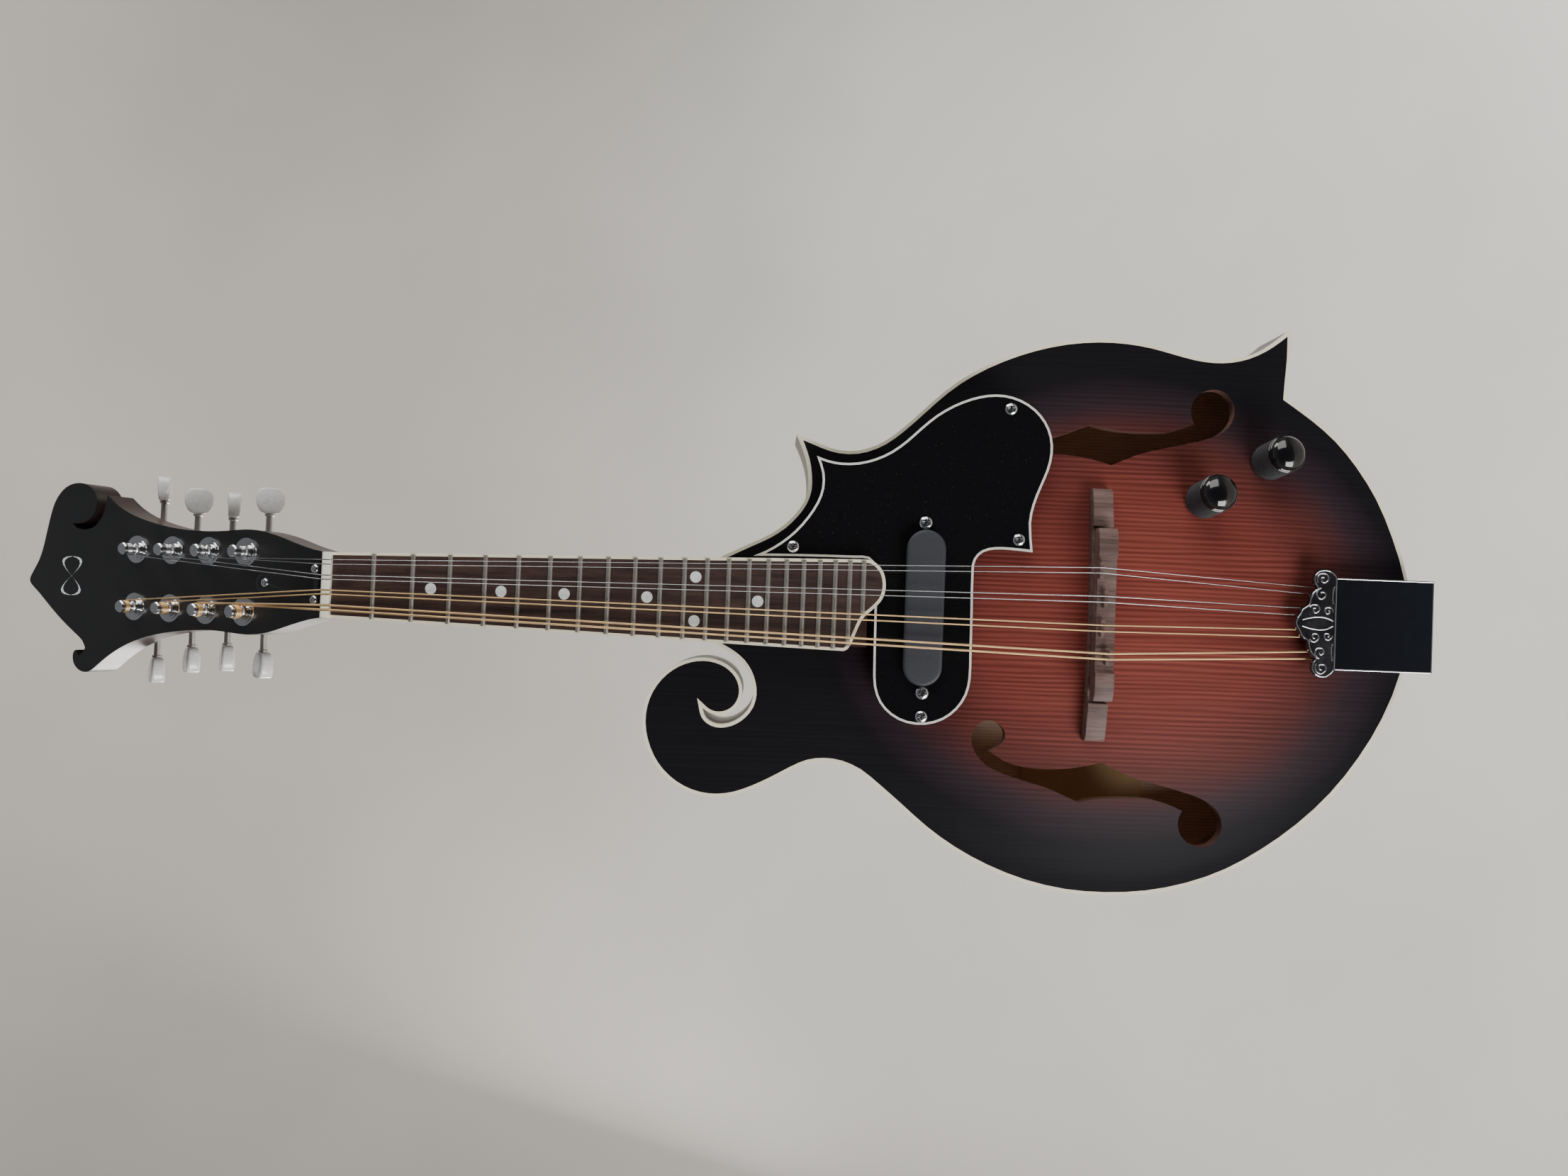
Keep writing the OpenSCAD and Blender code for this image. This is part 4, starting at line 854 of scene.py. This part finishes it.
class MANDOLIN_OT_controls(bpy.types.Operator):
    """Control knobs, potentiometers and output jack"""

    bl_idname = "mandolin.controls"
    bl_label = "Controls"

    def execute(self, context):
        settings = context.scene.mandolin_hardware
        finishes = [black_grain("knurled_black", 3000, 0.1, (0.035, 0.035, 0.04)), black_gloss("knob_black", 0.08)]
        control_knob("volume_cap", "volume_knob", "volume_turn", "volume", settings, finishes)
        control_knob("tone_cap", "tone_knob", "tone_turn", "tone", settings, finishes)
        paint("potentiometers", metal("pot_steel", (0.45, 0.45, 0.46), 0.3))
        paint("output_jack", metal("jack_chrome", tuple(settings.chrome), 0.12))
        return {"FINISHED"}


def button_rings(length=12.9, width=13.7, thickness=6.9):
    """Rings of a button along its shaft, a rounded tablet with flat faces: each ring is a nearly square
    superellipse; its width follows a root of the cosine and its thickness grows towards the outer end."""
    s = np.radians(np.concatenate([[-89.6, -84, -76], np.linspace(-66, 66, 15), [76, 84, 89.6]]))
    t = np.sin(s)
    x = 0.5 * length * t
    half_w = 0.5 * width * np.cos(s) ** 0.42 * (1 + 0.1 * t - 0.06 * t ** 2)
    half_t = 0.5 * thickness * np.cos(s) ** 0.09 * (0.94 + 0.1 * t)
    a = np.linspace(0, 2 * math.pi, 40, endpoint=False)
    y = np.sign(np.cos(a)) * np.abs(np.cos(a)) ** 0.34
    z = np.sign(np.sin(a)) * np.abs(np.sin(a)) ** 0.34
    return np.stack([np.broadcast_to(x[:, None], (len(x), 40)), half_w[:, None] * y, half_t[:, None] * z], -1)


def tuning_key(side, number, white, steel):
    """Pearl button and steel shaft with its worm, both along the key's own axis."""
    sign = -1 if side == "bass" else 1
    reach = KEY_REACH[number]
    turn = math.radians(KEY_TURN[side][number - 1])
    place = np.array([0, FIRST_POST + POST_GAP * (number - 1) + WORM_OFFSET, WORM_W])
    node, body = f"{side}_key_{number}", f"{side}_key_body_{number}"
    button = button_rings()
    c, s = math.cos(turn), math.sin(turn)
    x, y, z = button[..., 0] + reach, button[..., 1] * c - button[..., 2] * s, button[..., 1] * s + button[..., 2] * c
    verts, faces = lofted(np.stack([x, y, z], -1))
    flip = np.array([sign, sign, 1])
    new_piece(f"{side}_button_{number}", upright(on_head(verts * flip + place)), faces, body, white, 50,
              (node,))
    ridge = np.linspace(POST_X - 4.4, POST_X + 4.4, 33)
    worm = [(2.0 + 0.28 * math.cos(2 * math.pi * (r - ridge[0]) / 1.1), r) for r in ridge]
    profile = [(0.01, POST_X - 7.9), (1.75, POST_X - 7.9), (1.75, POST_X - 4.6), *worm, (1.75, POST_X + 4.6),
               (1.75, POST_X + 7.0), (2.8, POST_X + 7.05), (2.8, POST_X + 8.3), (1.8, POST_X + 8.4),
               (1.8, reach - 8), (2.5, reach - 7.6), (2.5, reach - 6.6), (0.01, reach - 6.5)]
    rings = revolved(profile, 24)
    verts, faces = lofted(np.stack([rings[..., 2], rings[..., 0], rings[..., 1]], -1))
    new_piece(f"{side}_key_shaft_{number}", upright(on_head(verts * flip + place)), faces, body, steel, 40)


class MANDOLIN_OT_tuners(bpy.types.Operator):
    """Tuner plates, bushings, posts, keys and buttons"""

    bl_idname = "mandolin.tuners"
    bl_label = "Tuners"

    def execute(self, context):
        chrome = metal("tuner_chrome", tuple(context.scene.mandolin_hardware.chrome), 0.09, 0.06)
        steel = metal("key_steel", (0.66, 0.64, 0.61), 0.42, 0.1)
        posts = metal("post_chrome", tuple(context.scene.mandolin_hardware.chrome), 0.2, 0.06)
        white = pearl("pearl_buttons")
        paint("tuner_plates", chrome)
        for side in ("bass", "treble"):
            for number in range(1, 5):
                paint(f"{side}_post_{number}", posts)
                tuning_key(side, number, white, steel)
        return {"FINISHED"}


def post_point(string):
    """Where a string comes to its post, on the side towards the centreline."""
    r, post = string[0], string[5]
    side = -1 if string[1] < 0 else 1
    x = side * (POST_X - POST_WAIST_R - r - STRING_CLEAR)
    return on_head((x, FIRST_POST + POST_GAP * (post - 1), POST_WRAP[post]))


def string_points(string):
    """Post, back and front of the nut, saddle and tail hook of one string."""
    r, nut_x, saddle_x, tail_x, extra, _ = string
    return (
        post_point(string),
        on_neck((nut_x, NUT_T, NUT_ACTION + r - NUT_T * NUT_SLOPE)),
        on_neck((nut_x, 0, NUT_ACTION + r)),
        on_neck((saddle_x, -(SCALE_LENGTH + extra), SADDLE_HEIGHT)),
        np.array([tail_x, *HOOK]),
    )


def stepped(a, b, count):
    """Even steps along the line from a to b."""
    t = np.linspace(0, 1, count)[:, None]
    return a * (1 - t) + b * t


def winding(string, turns):
    """A helix of touching turns down the post, as a tube in the headstock's frame."""
    r, post = string[0], string[5]
    side = -1 if string[1] < 0 else 1
    start = POST_WRAP[post]
    turns = turns if r > 0.3 else turns + 1
    a = np.linspace(0, turns * 2 * math.pi, turns * 24)
    radius = POST_WAIST_R + r + STRING_CLEAR * np.exp(-a)
    x = side * (POST_X - radius * np.cos(a))
    y = FIRST_POST + POST_GAP * (post - 1) + radius * np.sin(a)
    rise = min(2.1 * r, (WRAP_TOP - start - r) / turns)
    path = np.stack([x, y, start + rise * a / (2 * math.pi)], -1)
    return tube(path, r, 8, (0, 0, 1))


class MANDOLIN_OT_strings(bpy.types.Operator):
    """Four pairs of strings and their turns round the posts"""

    bl_idname = "mandolin.strings"
    bl_label = "Strings"

    def execute(self, context):
        settings = context.scene.mandolin_strings
        bronze = wound_wire("wound_bronze", tuple(settings.bronze))
        steel = metal("plain_steel", tuple(settings.steel), 0.25, 0.02)
        for kind, group, finish, slot in (
            ("wound", STRINGS[:4], bronze, "bronze"), ("plain", STRINGS[4:], steel, "steel"),
        ):
            head, speaking, tail = [], [], []
            places = [string_points(string) for string in group]
            for (r, *_), (post, back, front, saddle, hook) in zip(group, places):
                head.append(lofted(tube(np.vstack([stepped(post, back, 4), front[None]]), r)))
                speaking.append(lofted(tube(stepped(front, saddle, 30), r)))
                tail.append(lofted(tube(stepped(saddle, hook, 12), r)))
            pieces = []
            for word, parts, body, replaced in (
                ("head", head, "instrument", (f"{kind}_strings",)), ("speaking", speaking, None, ()),
                ("tail", tail, None, ()),
            ):
                verts, faces = joined(parts)
                pieces.append(new_piece(f"{kind}_{word}_lengths", upright(verts), faces, body, finish, 50,
                                        replaced))
            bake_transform(pieces[1])
            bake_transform(pieces[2])
            for string in group:
                side = "bass" if string[1] < 0 else "treble"
                verts, faces = lofted(winding(string, settings.turns))
                new_piece(f"{side}_winding_{string[5]}", upright(on_head(verts)), faces,
                          f"{side}_post_body_{string[5]}", finish, 50)
        return {"FINISHED"}


# ---------------------------------------------------------------- stage


# Lights: name, place, target, size, share of the main light's power and colour
AIM = (0.0, 0.0, -0.25)
LIGHTS = (
    ("key_light", (-1.25, -1.2, -1.1), AIM, (1.2, 1.2), 1.5, (1.0, 0.99, 0.98)),
    ("fill_light", (1.7, -1.1, 0.1), AIM, (1.6, 1.6), 0.9, (1.0, 0.97, 0.93)),
    ("edge_light", (1.7, -0.2, 0.9), AIM, (0.8, 0.8), 0.4, (1.0, 1.0, 1.0)),
    ("backdrop_light", (0.4, 0.7, 2.4), (0.0, 2.2, 2.0), (3.4, 1.0), 1.5, (1.0, 0.95, 0.87)),
    ("floor_light", (0.4, 0.7, -1.3), (0.0, 2.2, -0.9), (3.4, 0.8), 1.9, (0.94, 0.98, 1.0)),
    ("back_light", (-1.7, 1.7, 0.2), AIM, (0.9, 0.9), 1.3, (1.0, 0.98, 0.95)),
)
CAMERA_PLACE = (-0.00404, -0.54802, -0.20182)
CAMERA_RIGHT, CAMERA_UP = (0.0391, -0.0154, -0.9991), (0.9990, -0.0192, 0.0394)


def soft_light(name, place, target, size, power, colour):
    """A rectangular area light that faces its target."""
    lamp = bpy.data.lights.new(name, "AREA")
    lamp.shape = "RECTANGLE"
    lamp.size, lamp.size_y = size
    lamp.energy = power
    lamp.color = colour
    obj = bpy.data.objects.new(name, lamp)
    obj.location = place
    obj.rotation_mode = "QUATERNION"
    obj.rotation_quaternion = (Vector(target) - Vector(place)).to_track_quat("-Z", "Y")
    bpy.context.scene.collection.objects.link(obj)


def add_camera(scene):
    """A camera turned so that its picture's right and up are the stated directions."""
    camera = bpy.data.objects.new("camera", bpy.data.cameras.new("camera"))
    camera.data.lens = 27.02
    camera.data.sensor_width = 36.0
    camera.data.clip_start = 0.01
    right, up = Vector(CAMERA_RIGHT), Vector(CAMERA_UP)
    back = right.cross(up)
    up = back.cross(right)
    turn = Matrix((right.normalized(), up.normalized(), back.normalized())).transposed().to_4x4()
    camera.matrix_world = Matrix.Translation(CAMERA_PLACE) @ turn
    scene.collection.objects.link(camera)
    scene.camera = camera


def add_backdrop(scene, wall):
    """A floor that bends up into a wall: a quarter circle between two straight runs, drawn out along x."""
    bend = np.radians(np.linspace(0, 90, 24))
    corner = np.stack([1.0 + 1.2 * np.sin(bend), -0.4 - 1.2 * np.cos(bend)], -1)
    side = np.vstack([[[-1.4, -1.6]], corner, [[2.2, 6.0]]])
    across = np.array([-6.0, 0.0, 6.0])
    i, k = np.meshgrid(np.arange(len(across)), np.arange(len(side)), indexing="ij")
    verts = np.stack([across[i], side[k, 0], side[k, 1]], -1).reshape(-1, 3)
    a = (i * len(side) + k)[:-1, :-1].ravel()
    faces = np.stack([a, a + len(side), a + len(side) + 1, a + 1], -1).tolist()
    paper = new_finish("backdrop_paper", wall, 0.9)
    tone = noise(paper, (1.2, 1.2, 1.2), 3.0)
    set_colour(paper, ramp(paper, tone, [(0.35, scaled(wall, 0.94)), (0.65, scaled(wall, 1.05))]))
    mesh = bpy.data.meshes.new("backdrop")
    mesh.from_pydata(verts.tolist(), [], faces)
    mesh.polygons.foreach_set("use_smooth", np.ones(len(mesh.polygons), bool))
    mesh.materials.append(paper)
    backdrop = bpy.data.objects.new("backdrop", mesh)
    scene.collection.objects.link(backdrop)


def add_room(scene):
    """A room that is dim in front of the instrument and brighter all round it, and evenly pale seen directly."""
    scene.world = bpy.data.worlds.new("studio")
    scene.world.use_nodes = True
    tree = scene.world.node_tree
    background = tree.nodes["Background"]
    background.inputs["Color"].default_value = (0.75, 0.77, 0.8, 1)
    view, parts, room, ray, pale = (
        tree.nodes.new("ShaderNode" + kind) for kind in ("TexCoord", "SeparateXYZ", "MapRange", "LightPath", "Mix")
    )
    for socket, value in (("From Min", -0.95), ("From Max", -0.1), ("To Min", 0.015), ("To Max", 0.3)):
        room.inputs[socket].default_value = value
    pale.inputs["B"].default_value = 0.62
    for source, output, target, socket in (
        (view, "Generated", parts, "Vector"), (parts, "Y", room, "Value"), (ray, "Is Camera Ray", pale, "Factor"),
        (room, "Result", pale, "A"), (pale, "Result", background, "Strength"),
    ):
        tree.links.new(source.outputs[output], target.inputs[socket])


class MANDOLIN_OT_stage(bpy.types.Operator):
    """Pale seamless backdrop, soft lights and the camera"""

    bl_idname = "mandolin.stage"
    bl_label = "Stage"

    def execute(self, context):
        settings = context.scene.mandolin_stage
        add_camera(context.scene)
        add_backdrop(context.scene, tuple(settings.wall))
        add_room(context.scene)
        for name, place, target, size, share, colour in LIGHTS:
            soft_light(name, place, target, size, settings.light * share, colour)
        return {"FINISHED"}


class MANDOLIN_PT_panel(bpy.types.Panel):
    """Lists the mandolin's pieces and the stage"""

    bl_label = "Mandolin"
    bl_idname = "MANDOLIN_PT_panel"
    bl_space_type = "VIEW_3D"
    bl_region_type = "UI"
    bl_category = "Mandolin"

    def draw(self, context):
        for operator in OPERATORS:
            self.layout.operator(operator.bl_idname)


OPERATORS = (
    MANDOLIN_OT_stage, MANDOLIN_OT_body, MANDOLIN_OT_neck, MANDOLIN_OT_guard, MANDOLIN_OT_bridge,
    MANDOLIN_OT_tailpiece, MANDOLIN_OT_controls, MANDOLIN_OT_tuners, MANDOLIN_OT_strings,
)
SETTINGS = {
    "mandolin_body": BodySettings,
    "mandolin_hardware": HardwareSettings,
    "mandolin_strings": StringSettings,
    "mandolin_stage": StageSettings,
}


def register():
    for group in (*SETTINGS.values(), *OPERATORS, MANDOLIN_PT_panel):
        bpy.utils.register_class(group)
    for name, group in SETTINGS.items():
        setattr(bpy.types.Scene, name, PointerProperty(type=group))


def unregister():
    for name in SETTINGS:
        delattr(bpy.types.Scene, name)
    for group in (MANDOLIN_PT_panel, *reversed(OPERATORS), *reversed(SETTINGS.values())):
        bpy.utils.unregister_class(group)


def main():
    register()
    bpy.ops.mandolin.stage()
    bpy.ops.mandolin.body()
    bpy.ops.mandolin.neck()
    bpy.ops.mandolin.guard()
    bpy.ops.mandolin.bridge()
    bpy.ops.mandolin.tailpiece()
    bpy.ops.mandolin.controls()
    bpy.ops.mandolin.tuners()
    bpy.ops.mandolin.strings()


if __name__ == "__main__":
    main()
